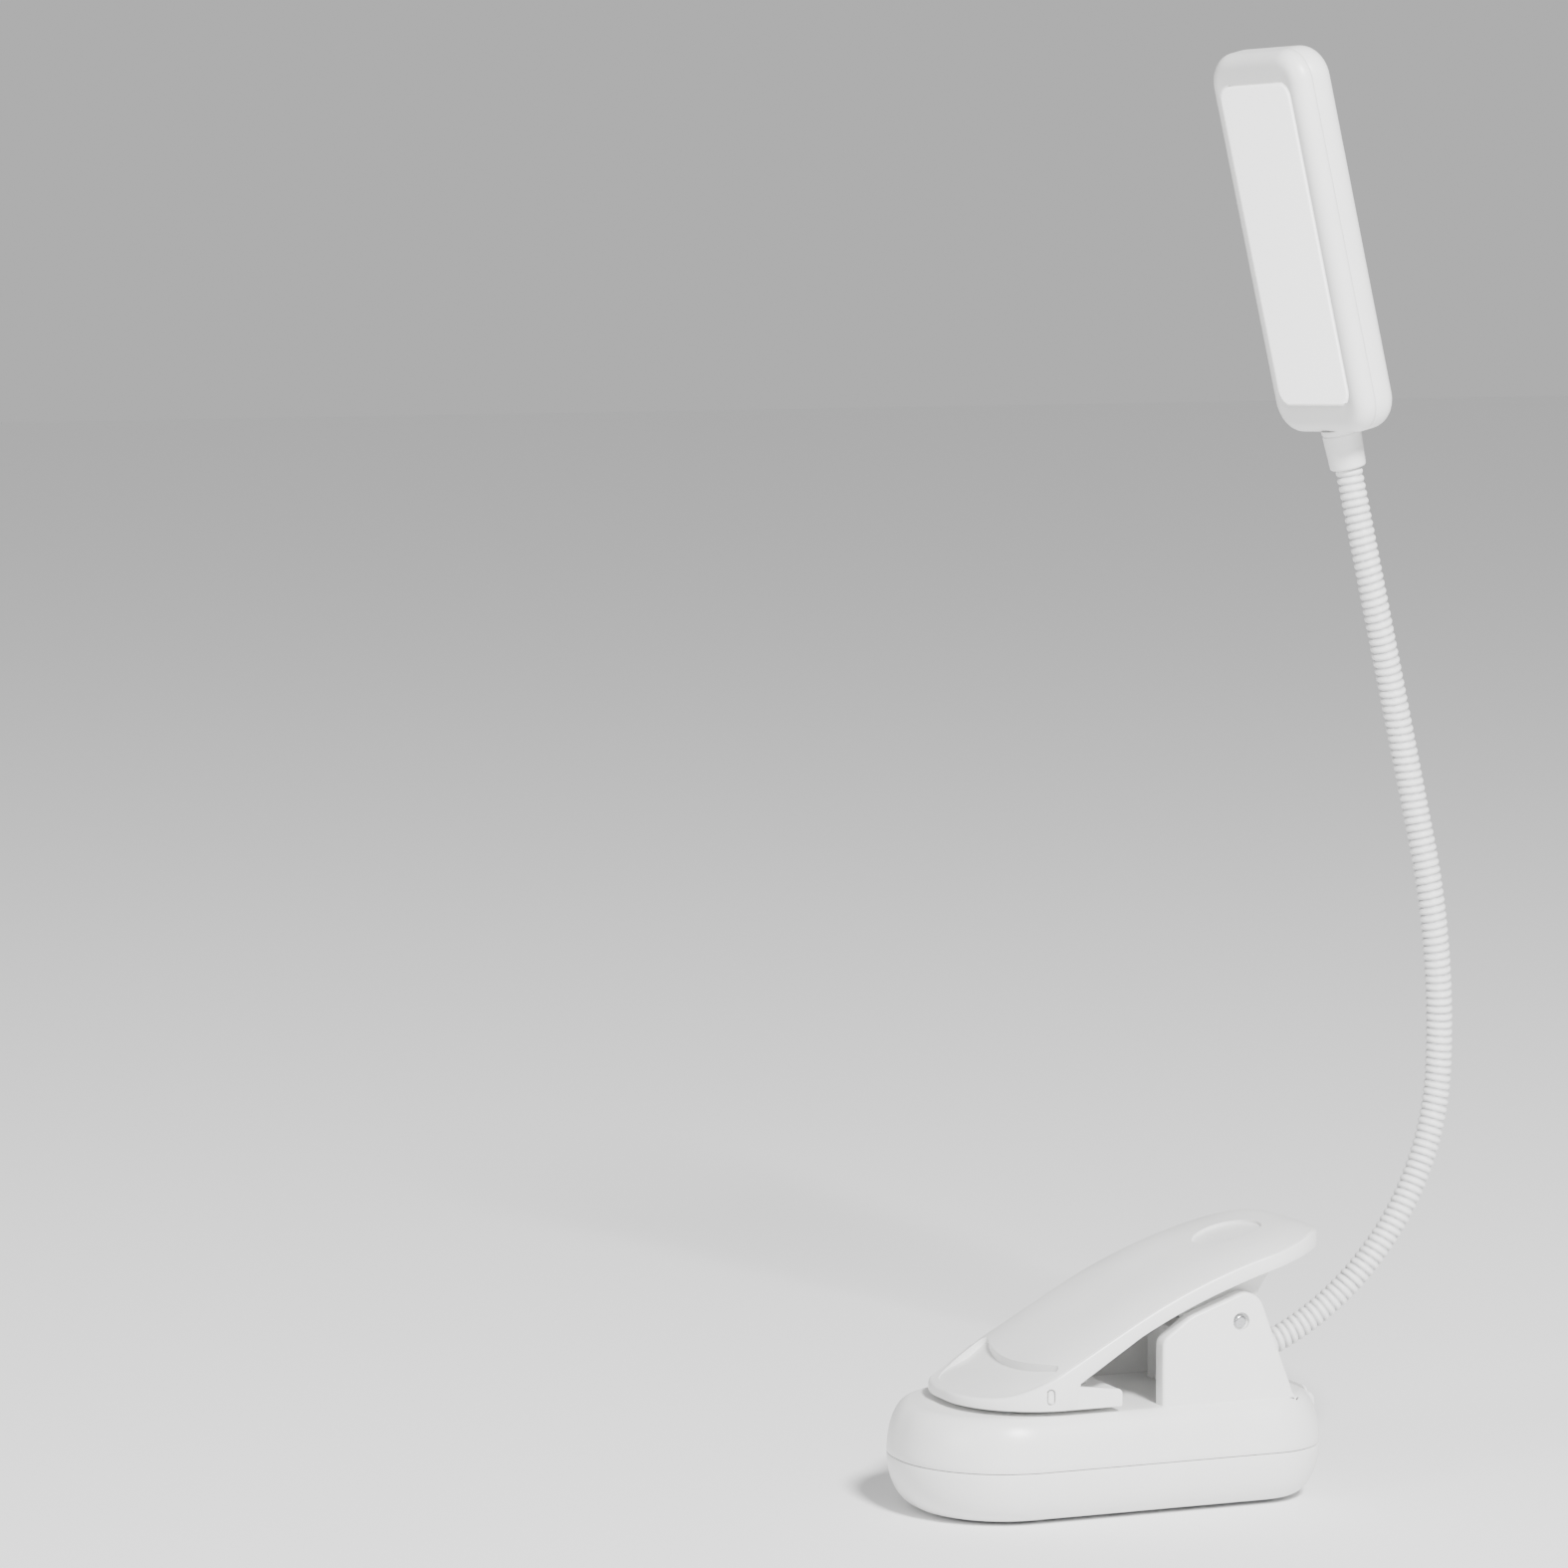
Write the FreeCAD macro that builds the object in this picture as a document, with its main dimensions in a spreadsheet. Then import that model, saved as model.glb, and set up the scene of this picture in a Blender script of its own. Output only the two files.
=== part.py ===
import FreeCAD, Part
import math
import os
import re

import Sketcher

# A clip on reading lamp: a pebble-shaped base with a battery inside, a sprung lever that clamps it
# to a book or a shelf, a gooseneck, and a flat lamp head. Millimetres, +Z up. The origin is the
# centre of the base's underside, the clip's nose points to -Y and the neck leaves towards +Y.

doc = FreeCAD.newDocument("reading_lamp")
sheet = doc.addObject("Spreadsheet::Sheet", "sizes")

DRIVING = {
    # base
    "base_length": 72, "base_width": 38, "base_height": 17.7, "parting_height": 9.1,
    "nose_round": 17.9, "tail_round": 12, "bottom_round": 5, "top_round": 3.7, "shell_wall": 1.6,
    "grip_thickness": 1.0, "grip_recess": 0.6, "grip_inset": 6, "floor_wall": 1.5,
    # screws that hold the two base shells together
    "screw_across": 12.6, "screw_from_end": 14, "screw_shank": 0.95, "screw_head": 1.8,
    "screw_head_depth": 1.2, "screw_length": 8, "post_radius": 2.7, "post_top": 7, "pilot_gap": 0.03,
    "pilot_spare": 0.5,
    # charging port in its flat panel at the tail
    "panel_width": 16.4, "panel_depth": 6, "port_height": 14.05, "port_width": 8.94,
    "port_thickness": 3.16, "port_shell": 0.3, "port_depth": 7.35, "tongue_width": 6.69,
    "tongue_thickness": 0.7, "tongue_depth": 4.45, "trim_width": 1.1, "trim_proud": 0.3,
    "port_gap": 0.05, "port_inset": 0.2,
    # battery and circuit board
    "battery_width": 29, "battery_length": 33, "battery_height": 6.5, "battery_round": 1.2,
    "board_width": 18.6, "board_length": 25, "board_thickness": 1.2, "lead_radius": 0.55,
    "board_overlap": 6.6, "board_gap": 0.5,
    # ears that carry the hinge pin
    "pin_along": 18.6, "pin_height": 30.8, "pin_radius": 1.1, "pin_fit": 0.05, "pin_dome": 0.5,
    "ear_outer": 15.5, "ear_thickness": 3.2, "ear_front": 4.5, "ear_shoulder": 28.2, "ear_top": 35.8,
    "ear_back": 28.6, "ear_sink": 1.2, "ear_round": 3, "countersink_radius": 1.5,
    "countersink_depth": 0.7,
    # block between the ears that anchors the neck
    "block_width": 17.5, "block_front": 13.2, "block_back": 25, "block_top": 27.2, "block_lean": 2.6,
    "block_round": 1.2, "prong_across": 6, "prong_width": 2, "prong_tip": 31.4,
    "prong_root": 3, "prong_sink": 0.25, "prong_depth": 0.8,
    "lead_way_radius": 1.2, "block_screw_across": 6, "block_screw_along": 18.6,
    "block_screw_length": 6,
    # torsion spring
    "spring_outer": 3.2, "spring_wire": 1.3, "spring_pitch": 1.35, "spring_turns": 8,
    "spring_end": 5.5, "spring_gap": 0.15, "spring_leg_sink": 3.5, "spring_leg_length": 11.6,
    "spring_leg_angle": 41,
    # lever, in side view
    "lever_width": 34, "lever_nose": -28.4, "lever_tail": 37, "lip_bottom": 18.6, "lip_top": 20.8,
    "brow_along": -20.5, "brow_height": 22.4, "crown_along": 31, "crown_height": 44.7,
    "slope_along": -1, "slope_height": 33.3, "crown_radius": 105, "tail_height": 44.5,
    "rim_depth": 4.1, "lever_sheet": 1.8, "rim_wall": 1.2, "heel_along": -11.6, "heel_height": 22.4,
    "nose_plan_round": 15, "tail_plan_round": 14, "cheek_gap": 0.5, "cheek_thickness": 2.6,
    "cheek_radius": 4.3, "cheek_front": 7, "cheek_back": 24, "bar_along": 24.6, "bar_depth": 2.8,
    "bar_drop": 4.2,
    # jaw
    "jaw_back": -3.5, "jaw_top": 21.2, "jaw_gap": 0.05, "pad_thickness": 1.2, "pad_sink": 0.9,
    "pad_front": -22, "pad_back": -5, "pad_half_width": 11, "jaw_post_across": 8,
    "jaw_post_along": -7.5, "jaw_post_radius": 1.6, "jaw_screw_length": 5, "jaw_slope": 4,
    # touch control
    "touch_along": 23.4, "touch_radius": 5.8, "touch_depth": 0.45, "electrode_thickness": 0.3,
    "electrode_radius": 5,
    # neck
    "neck_root_along": 25.6, "neck_root_rise": 1.55, "neck_root_heading": 15.3,
    "neck_radius": 2.25, "neck_bore": 0.8, "root_bend_radius": 50.6, "root_bend_turn": 72.5,
    "top_bend_radius": 148.4, "top_bend_turn": 15.1, "straight_length": 64, "ball_radius": 1.7,
    "ball_fit": 0.05, "link_gap": 0.5, "anchor_length": 5.8,
    # head, in its own frame with its origin where the neck ends
    "head_twist": 8.6, "collar_length": 6.6, "collar_bottom": 3.0, "collar_top": 3.3,
    "head_width": 25.5, "head_height": 64, "head_thickness": 8, "head_split": 1, "head_wall": 1.5,
    "head_corner": 5.5, "head_back_round": 3.3, "head_front_round": 2.4,
    "window_width": 19.8, "window_height": 54, "window_round": 2.6, "diffuser_gap": 0.1,
    "diffuser_proud": 0.15, "diffuser_flange": 0.9, "flange_thickness": 0.6, "frame_gap": 0.1,
    "led_board_thickness": 1, "led_board_gap": 0.5, "led_size": 2, "led_height": 0.7,
    "led_pitch": 7, "led_across": 4.6, "nut_width": 9, "nut_depth": 4.6, "nut_height": 1,
    "head_lead_across": 2,
}

for row, (alias, size) in enumerate(DRIVING.items(), start=1):
    sheet.set("A%d" % row, alias)
    sheet.set("B%d" % row, str(size))
    sheet.setAlias("B%d" % row, alias)
doc.recompute()


def formula(text):
    """The expression with every alias pointing at the sheet."""
    return re.sub(r"[a-z]+_[a-z_]+", lambda word: "sizes." + word[0], str(text))


def number(text):
    """The present value of an expression."""
    value = sheet.evalExpression(formula(text))
    return float(getattr(value, "Value", value))


def bind(thing, name, text):
    thing.setExpression(name, formula(text))


# ---- sketches and features of a body ---------------------------------------------------------


def new_body(name):
    body = doc.addObject("PartDesign::Body", name)
    body.Label = name
    return body


def new_sketch(body, plane, offset):
    """An empty sketch on one of the body's own planes, moved along the plane's normal."""
    sketch = body.newObject("Sketcher::SketchObject", body.Name + "_sketch")
    origin = [f for f in body.Origin.OriginFeatures if f.Role == plane + "_Plane"]
    sketch.AttachmentSupport = [(origin[0], "")]
    sketch.MapMode = "FlatFace"
    bind(sketch, "AttachmentOffset.Base.z", offset)
    return sketch


def pin_point(sketch, curve, end, across, up):
    """Fixes a curve's end point at two distances from the sketch's origin."""
    for kind, text in (("DistanceX", across), ("DistanceY", up)):
        index = sketch.addConstraint(Sketcher.Constraint(kind, -1, 1, curve, end, number(text)))
        bind(sketch, "Constraints[%d]" % index, text)


def arc_between(start, finish, radius):
    """The short arc from start to finish that bulges to the right of the way it goes."""
    chord = finish - start
    left = FreeCAD.Vector(-chord.y, chord.x, 0).normalize()
    sink = math.sqrt(radius ** 2 - chord.Length ** 2 / 4)
    centre = (start + finish) * 0.5 + left * sink
    first = math.atan2(start.y - centre.y, start.x - centre.x)
    last = math.atan2(finish.y - centre.y, finish.x - centre.x)
    return Part.ArcOfCircle(Part.Circle(centre, FreeCAD.Vector(0, 0, 1), radius), first, last)


def outline(sketch, corners):
    """A closed anticlockwise loop. Each corner is (across, up) or (across, up, radius, way): an arc
    of that radius then runs to the next corner, with way 1 where it bulges out and -1 where in."""
    spots = [FreeCAD.Vector(number(c[0]), number(c[1]), 0) for c in corners]
    first = sketch.GeometryCount
    ends = []
    for i, corner in enumerate(corners):
        start, finish = spots[i], spots[(i + 1) % len(spots)]
        ends.append((1, 2))
        if len(corner) == 4:
            radius, way = corner[2:]
            if way < 0:
                start, finish = finish, start
                ends[i] = (2, 1)
            curve = sketch.addGeometry(arc_between(start, finish, number(radius)))
            index = sketch.addConstraint(Sketcher.Constraint("Radius", curve, number(radius)))
            bind(sketch, "Constraints[%d]" % index, radius)
        else:
            curve = sketch.addGeometry(Part.LineSegment(start, finish))
        pin_point(sketch, curve, ends[i][0], corner[0], corner[1])
    for i, (start, finish) in enumerate(ends):
        following = (i + 1) % len(corners)
        joint = Sketcher.Constraint("Coincident", first + i, finish, first + following, ends[following][0])
        sketch.addConstraint(joint)


def rectangle(sketch, left, right, bottom, top):
    outline(sketch, [(left, bottom), (right, bottom), (right, top), (left, top)])


def rounded_rectangle(sketch, left, right, bottom, top, low, high):
    """A rectangle with its two lower corners rounded by low and its two upper ones by high."""
    outline(sketch, [
        (left, "%s + %s" % (bottom, low), low, 1),
        ("%s + %s" % (left, low), bottom),
        ("%s - %s" % (right, low), bottom, low, 1),
        (right, "%s + %s" % (bottom, low)),
        (right, "%s - %s" % (top, high), high, 1),
        ("%s - %s" % (right, high), top),
        ("%s + %s" % (left, high), top, high, 1),
        (left, "%s - %s" % (top, high)),
    ])


def circle(sketch, across, up, radius):
    centre = FreeCAD.Vector(number(across), number(up), 0)
    curve = sketch.addGeometry(Part.Circle(centre, FreeCAD.Vector(0, 0, 1), number(radius)))
    pin_point(sketch, curve, 3, across, up)
    index = sketch.addConstraint(Sketcher.Constraint("Radius", curve, number(radius)))
    bind(sketch, "Constraints[%d]" % index, radius)


def pad(body, sketch, length, middle=False):
    feature = body.newObject("PartDesign::Pad", body.Name + "_pad")
    feature.Profile = sketch
    feature.Midplane = middle
    bind(feature, "Length", length)
    doc.recompute()


def pocket(body, sketch, length, middle=False, ahead=False):
    """Cuts against the sketch's normal, or with it where ahead is set."""
    before = body.Shape.Volume
    feature = body.newObject("PartDesign::Pocket", body.Name + "_pocket")
    feature.Profile = sketch
    feature.Midplane = middle
    feature.Reversed = ahead
    bind(feature, "Length", length)
    doc.recompute()
    if body.Shape.Volume > before - 1e-3:
        raise ValueError(feature.Name + " cuts nothing")


def soften(body, radius, wanted):
    """Rounds the body's edges for which wanted(edge) holds."""
    solid = body.Tip
    names = ["Edge%d" % (i + 1) for i, e in enumerate(solid.Shape.Edges) if wanted(e)]
    feature = body.newObject("PartDesign::Fillet", body.Name + "_fillet")
    feature.Base = (solid, names)
    bind(feature, "Radius", radius)
    doc.recompute()
    if "Invalid" in feature.State:
        raise ValueError(feature.Name + " can't round " + ", ".join(names))


def lies_along(edge, axis):
    sizes = {"x": edge.BoundBox.XLength, "y": edge.BoundBox.YLength, "z": edge.BoundBox.ZLength}
    return all((size > 0.01) == (name == axis) for name, size in sizes.items())


def at_level(edge, axis, level):
    low, high = getattr(edge.BoundBox, axis + "Min"), getattr(edge.BoundBox, axis + "Max")
    return abs(low - level) < 1e-3 and abs(high - level) < 1e-3


# ---- primitives and booleans ------------------------------------------------------------------


def shift(thing, x, y, z):
    for letter, text in zip("xyz", (x, y, z)):
        bind(thing, "Placement.Base." + letter, text)


def box(name, x, y, z, length, width, height):
    """A box with its lowest corner at x, y, z."""
    thing = doc.addObject("Part::Box", name)
    for side, text in (("Length", length), ("Width", width), ("Height", height)):
        bind(thing, side, text)
    shift(thing, x, y, z)
    return thing


TURNS = {
    "x": FreeCAD.Rotation(FreeCAD.Vector(0, 1, 0), 90),
    "y": FreeCAD.Rotation(FreeCAD.Vector(1, 0, 0), -90),
    "z": FreeCAD.Rotation(),
}


def rod(name, axis, radius, length, x, y, z):
    """A cylinder that starts at x, y, z and runs along the positive axis."""
    thing = doc.addObject("Part::Cylinder", name)
    thing.Placement.Rotation = TURNS[axis]
    bind(thing, "Radius", radius)
    bind(thing, "Height", length)
    shift(thing, x, y, z)
    return thing


def ball(name, radius, x="0", y="0", z="0"):
    thing = doc.addObject("Part::Sphere", name)
    bind(thing, "Radius", radius)
    shift(thing, x, y, z)
    return thing


def fuse(name, pieces):
    thing = doc.addObject("Part::MultiFuse", name)
    thing.Shapes = pieces
    thing.Refine = True
    return thing


def cut(name, base, tools):
    thing = doc.addObject("Part::Cut", name)
    thing.Base = base
    thing.Tool = tools[0] if len(tools) == 1 else fuse(name + "_tools", tools)
    return thing


def group(name, pieces):
    """Several like pieces that stay separate solids in one sub-part."""
    thing = doc.addObject("Part::Compound", name)
    thing.Links = pieces
    return thing


def capsule(name, width, thickness, length, y, z):
    """A flat-sided bar with round edges that lies along Y, centred on the plane x = 0."""
    half = "((%s) - (%s)) / 2" % (width, thickness)
    level = "%s - (%s) / 2" % (z, thickness)
    middle = box(name + "_middle", "-" + half, y, level, "2 * " + half, length, thickness)
    ends = [
        rod(name + "_" + side, "y", "(%s) / 2" % thickness, length, sign + half, y, z)
        for side, sign in SIDES
    ]
    return fuse(name, [middle] + ends)


SIDES = (("left", "-"), ("right", "+"))
CORNERS = [(a, b) for a in "-+" for b in "-+"]

# ---- base shells ------------------------------------------------------------------------------

shell_floor = "(grip_thickness - grip_recess)"
recess_top = "grip_thickness"
deck = "base_height"
screw_along = "(base_length / 2 - screw_from_end)"
neck_root_height = "(base_height + neck_radius + neck_root_rise)"
lead_along = "(neck_root_along - anchor_length + 1.5)"
pilot_depth = "(grip_thickness + screw_head_depth + screw_length - post_top + pilot_spare)"
cavity_floor = "(grip_thickness + floor_wall)"
cavity_roof = "(base_height - shell_wall)"


def plan(body, height, inset):
    """The base's plan on a level plane, drawn in by inset: wide corners at the nose, tighter ones
    at the tail."""
    sketch = new_sketch(body, "XY", height)
    across = "(base_width / 2 - %s)" % inset
    along = "(base_length / 2 - %s)" % inset
    rounded_rectangle(sketch, "-" + across, across, "-" + along, along,
                      "(nose_round - %s)" % inset, "(tail_round - %s)" % inset)
    return sketch


def screw_spots(body, height, radius):
    sketch = new_sketch(body, "XY", height)
    for across, along in CORNERS:
        circle(sketch, across + "screw_across", along + screw_along, radius)
    return sketch


def base_lower_shell():
    body = new_body("base_lower_shell")
    pad(body, plan(body, shell_floor, "0"), "parting_height - " + shell_floor)
    soften(body, "bottom_round", lambda e: at_level(e, "Z", number(shell_floor)))
    pocket(body, plan(body, "parting_height", "shell_wall"), "parting_height - " + cavity_floor)
    soften(body, "bottom_round - shell_wall", lambda e: at_level(e, "Z", number(cavity_floor)))
    pad(body, screw_spots(body, recess_top, "post_radius"), "post_top - " + recess_top)
    pocket(body, plan(body, shell_floor, "grip_inset"), "grip_recess", ahead=True)
    head = screw_spots(body, recess_top, "screw_head + pin_fit")
    pocket(body, head, "screw_head_depth + pilot_gap", ahead=True)
    pocket(body, screw_spots(body, "post_top", "screw_shank + pin_fit"), "post_top - " + recess_top)
    return body


def grip_sheet():
    body = new_body("grip_sheet")
    pad(body, plan(body, "0", "grip_inset"), "grip_thickness")
    return body


def ear(body, start):
    sketch = new_sketch(body, "YZ", start)
    foot = "(base_height - ear_sink)"
    shoulder = "(pin_along - 1.5)"
    outline(sketch, [
        ("ear_front", foot),
        ("ear_back", foot),
        ("pin_along + ear_round + 1", "ear_top - 1"),
        (shoulder + " + ear_round", "ear_top"),
        (shoulder, "ear_top - 0.4"),
        ("ear_front", "ear_shoulder"),
    ])
    pad(body, sketch, "ear_thickness")


def base_upper_shell():
    body = new_body("base_upper_shell")
    pad(body, plan(body, "parting_height", "0"), "base_height - parting_height")
    soften(body, "top_round", lambda e: at_level(e, "Z", number("base_height")))
    panel = new_sketch(body, "XY", "parting_height")
    back = "base_length / 2"
    rectangle(panel, "-panel_width / 2", "panel_width / 2", back + " - panel_depth", back)
    pad(body, panel, "base_height - parting_height")
    pocket(body, plan(body, "parting_height", "shell_wall"), "%s - parting_height" % cavity_roof, ahead=True)
    ear(body, "ear_outer - ear_thickness")
    ear(body, "-ear_outer")
    tops = (number("ear_shoulder"), number("ear_top"))
    soften(body, "ear_round / 2", lambda e: lies_along(e, "x") and abs(e.CenterOfMass.z - tops[0]) < 1.5)
    pad(body, screw_spots(body, "post_top", "post_radius"), cavity_roof + " + shell_wall / 2 - post_top")
    pocket(body, screw_spots(body, "post_top", "screw_shank + pilot_gap"), pilot_depth, ahead=True)
    port_way = capsule("port_way", "port_width + 2 * port_gap", "port_thickness + 2 * port_gap",
                       "panel_depth", "base_length / 2 - panel_depth / 2", "port_height")
    pin_way = rod("ear_pin_way", "x", "pin_radius", "2 * ear_outer", "-ear_outer",
                  "pin_along", "pin_height")
    sinks = [
        rod("ear_sink_" + side, "x", "countersink_radius", "countersink_depth",
            start, "pin_along", "pin_height")
        for side, start in (("left", "-ear_outer"), ("right", "ear_outer - countersink_depth"))
    ]
    lead_way = rod("deck_lead_way", "z", "lead_way_radius", "2 * shell_wall", "0", lead_along,
                   "base_height - 1.5 * shell_wall")
    pad_seat = box("base_pad_seat", "-pad_half_width", "pad_front", "base_height - pad_sink",
                   "2 * pad_half_width", "pad_back - pad_front", "pad_sink")
    screw_ways = [
        rod("deck_screw_way_" + side, "z", "screw_shank + pin_fit", "2 * shell_wall",
            sign + "block_screw_across", "block_screw_along", "base_height - 1.5 * shell_wall")
        for side, sign in SIDES
    ]
    openings = [port_way, pin_way, lead_way, pad_seat] + sinks + screw_ways
    return cut("base_upper_shell", body, openings)


def screw(name, across, along, level, length):
    """A pan head at the level and a shank that points up from it."""
    head = rod(name + "_head", "z", "screw_head", "screw_head_depth", across, along, level)
    shank = rod(name + "_shank", "z", "screw_shank", length, across, along,
                level + " + screw_head_depth")
    return fuse(name, [head, shank])


def shell_screws():
    return group("shell_screws", [
        screw("shell_screw_%d" % i, across + "screw_across", along + screw_along, recess_top,
              "screw_length")
        for i, (across, along) in enumerate(CORNERS)
    ])


def block_screws():
    return group("block_screws", [
        screw("block_screw_" + side, sign + "block_screw_across", "block_screw_along",
              cavity_roof + " - screw_head_depth", "block_screw_length")
        for side, sign in SIDES
    ])


# ---- port, battery and circuit board ----------------------------------------------------------

port_back = "(base_length / 2 - port_inset - port_depth)"
port_inside = ("port_width - 2 * port_shell", "port_thickness - 2 * port_shell")
board_front = "(base_length / 2 - shell_wall - board_gap - board_length)"
board_top = "(port_height - port_thickness / 2)"
battery_front = "(" + board_front + " + board_overlap - battery_length)"
battery_top = "(" + cavity_floor + " + battery_height)"


def usb_shell():
    outer = capsule("usb_outer", "port_width", "port_thickness", "port_depth", port_back, "port_height")
    inner = capsule("usb_inner", *port_inside, "port_depth", port_back + " + port_shell", "port_height")
    return cut("usb_shell", outer, [inner])


def usb_tongue():
    start = port_back + " + port_shell"
    plug = capsule("usb_plug", *port_inside, "port_depth - tongue_depth - 2 * port_shell", start,
                   "port_height")
    blade = box("usb_blade", "-tongue_width / 2", start, "port_height - tongue_thickness / 2",
                "tongue_width", "port_depth - 2 * port_shell", "tongue_thickness")
    return fuse("usb_tongue", [plug, blade])


def port_trim_ring():
    start = "base_length / 2"
    outer = capsule("trim_outer", "port_width + 2 * trim_width", "port_thickness + 2 * trim_width",
                    "trim_proud", start, "port_height")
    inner = capsule("trim_inner", "port_width + 2 * port_gap", "port_thickness + 2 * port_gap",
                    "2 * trim_proud", start + " - trim_proud / 2", "port_height")
    return cut("port_trim_ring", outer, [inner])


def battery_cell():
    body = new_body("battery_cell")
    sketch = new_sketch(body, "XY", cavity_floor)
    rectangle(sketch, "-battery_width / 2", "battery_width / 2", battery_front,
              battery_front + " + battery_length")
    pad(body, sketch, "battery_height")
    soften(body, "battery_round", lambda edge: True)
    return body


def battery_leads():
    rise = "%s - board_thickness - %s" % (board_top, battery_top)
    return group("battery_leads", [
        rod("battery_lead_" + side, "z", "lead_radius", rise, sign + "3 * lead_radius",
            board_front + " + 4 * lead_radius", battery_top)
        for side, sign in SIDES
    ])


def main_board():
    return box("main_board", "-board_width / 2", board_front, board_top + " - board_thickness",
               "board_width", "board_length", "board_thickness")


def board_components():
    """Chips and plugs: how far across, how far from the board's front edge, and three sizes."""
    chips = {
        "charger_chip": (-6.5, 8.5, 4, 4, 0.9),
        "control_chip": (2, 2.5, 5, 5, 1.0),
        "power_coil": (-7, 2, 4, 4, 1.4),
        "battery_plug": (-8.8, 17, 2.6, 5, 1.4),
        "lamp_plug": (6.2, 17, 2.6, 5, 1.4),
    }
    return group("board_components", [
        box(name, across, "%s + %s" % (board_front, ahead), board_top, length, width, height)
        for name, (across, ahead, length, width, height) in chips.items()
    ])


# ---- neck: its line, and the frames along it ---------------------------------------------------

ROOT_LINKS, TOP_LINKS, STRAIGHT_LINKS = 4, 2, 4
YZX = FreeCAD.Rotation(FreeCAD.Vector(1, 1, 1), 120)


def across_turn(degrees):
    return FreeCAD.Rotation(FreeCAD.Vector(1, 0, 0), degrees)


def step(frame, length, turn):
    """The frame at the far end of a link that bends by turn degrees towards its own -Y."""
    if turn:
        radius = length / math.radians(turn)
        move = FreeCAD.Placement(FreeCAD.Vector(0, -radius, 0), FreeCAD.Rotation())
        spin = FreeCAD.Placement(FreeCAD.Vector(), across_turn(turn))
        return frame * move * spin * move.inverse()
    return frame * FreeCAD.Placement(FreeCAD.Vector(0, 0, length), FreeCAD.Rotation())


def neck_links():
    """For each link: its start frame, its bend's radius as an expression or None, and its size,
    which is a turn in degrees for a bent link and a length for a straight one."""
    frame = FreeCAD.Placement(
        FreeCAD.Vector(0, number("neck_root_along"), number(neck_root_height)),
        across_turn(number("neck_root_heading") - 90),
    )
    runs = (
        [("root_bend_radius", "root_bend_turn / %d" % ROOT_LINKS)] * ROOT_LINKS
        + [("top_bend_radius", "top_bend_turn / %d" % TOP_LINKS)] * TOP_LINKS
        + [(None, "straight_length / %d" % STRAIGHT_LINKS)] * STRAIGHT_LINKS
    )
    links = []
    for radius, size in runs:
        links.append((frame, radius, size))
        if radius:
            turn = number(size)
            frame = step(frame, number(radius) * math.radians(turn), turn)
        else:
            frame = step(frame, number(size), 0)
    return links, frame


LINKS, NECK_END = neck_links()


def bent_tube(name, radius, bend_radius, turn, start_gap, end_gap):
    """Part of a ring that starts at the origin, heads along +Z and bends towards -Y."""
    ring = doc.addObject("Part::Torus", name)
    skip = "(%s) / (%s) * 180 / pi" % (start_gap, bend_radius)
    stop = "(%s) / (%s) * 180 / pi" % (end_gap, bend_radius)
    bind(ring, "Radius1", bend_radius)
    bind(ring, "Radius2", radius)
    bind(ring, "Angle3", "%s - %s - %s" % (turn, skip, stop))
    centre = FreeCAD.Vector(0, -number(bend_radius), 0)
    ring.Placement = FreeCAD.Placement(centre, across_turn(number(skip)) * YZX)
    return ring


def neck_link(index):
    """A hollow link with a ball at its start and, but for the last, a socket at its end."""
    frame, bend, size = LINKS[index]
    name = "neck_link_%02d" % (index + 1)
    last = index == len(LINKS) - 1
    end_gap = "0" if last else "link_gap"
    if bend:
        tube = bent_tube(name + "_tube", "neck_radius", bend, size, "link_gap", end_gap)
        bore = bent_tube(name + "_bore", "neck_bore", bend, size, "-2 * ball_radius", "-2 * ball_radius")
        length = number(bend) * math.radians(number(size))
        far = step(FreeCAD.Placement(), length, number(size)).Base
    else:
        tube = rod(name + "_tube", "z", "neck_radius", "%s - link_gap - %s" % (size, end_gap),
                   "0", "0", "link_gap")
        bore = rod(name + "_bore", "z", "neck_bore", size + " + 4 * ball_radius",
                   "0", "0", "-2 * ball_radius")
        far = FreeCAD.Vector(0, 0, number(size))
    body = fuse(name + "_solid", [tube, ball(name + "_ball", "ball_radius")])
    tools = [bore]
    if not last:
        socket = ball(name + "_socket", "ball_radius + ball_fit")
        for letter in "xyz":
            socket.setExpression("Placement.Base." + letter, None)
        socket.Placement.Base = far
        tools.append(socket)
    link = cut(name, body, tools)
    link.Placement = frame
    return link


def neck_anchor():
    """The fixed stub inside the block, with the first link's socket in its mouth."""
    tube = rod("anchor_tube", "z", "neck_radius", "anchor_length - link_gap", "0", "0", "-anchor_length")
    bore = rod("anchor_bore", "z", "neck_bore", "2 * anchor_length", "0", "0", "-1.5 * anchor_length")
    socket = ball("anchor_socket", "ball_radius + ball_fit")
    anchor = cut("neck_anchor", tube, [bore, socket])
    anchor.Placement = LINKS[0][0]
    return anchor


# ---- neck block, hinge pin and spring ----------------------------------------------------------

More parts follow.
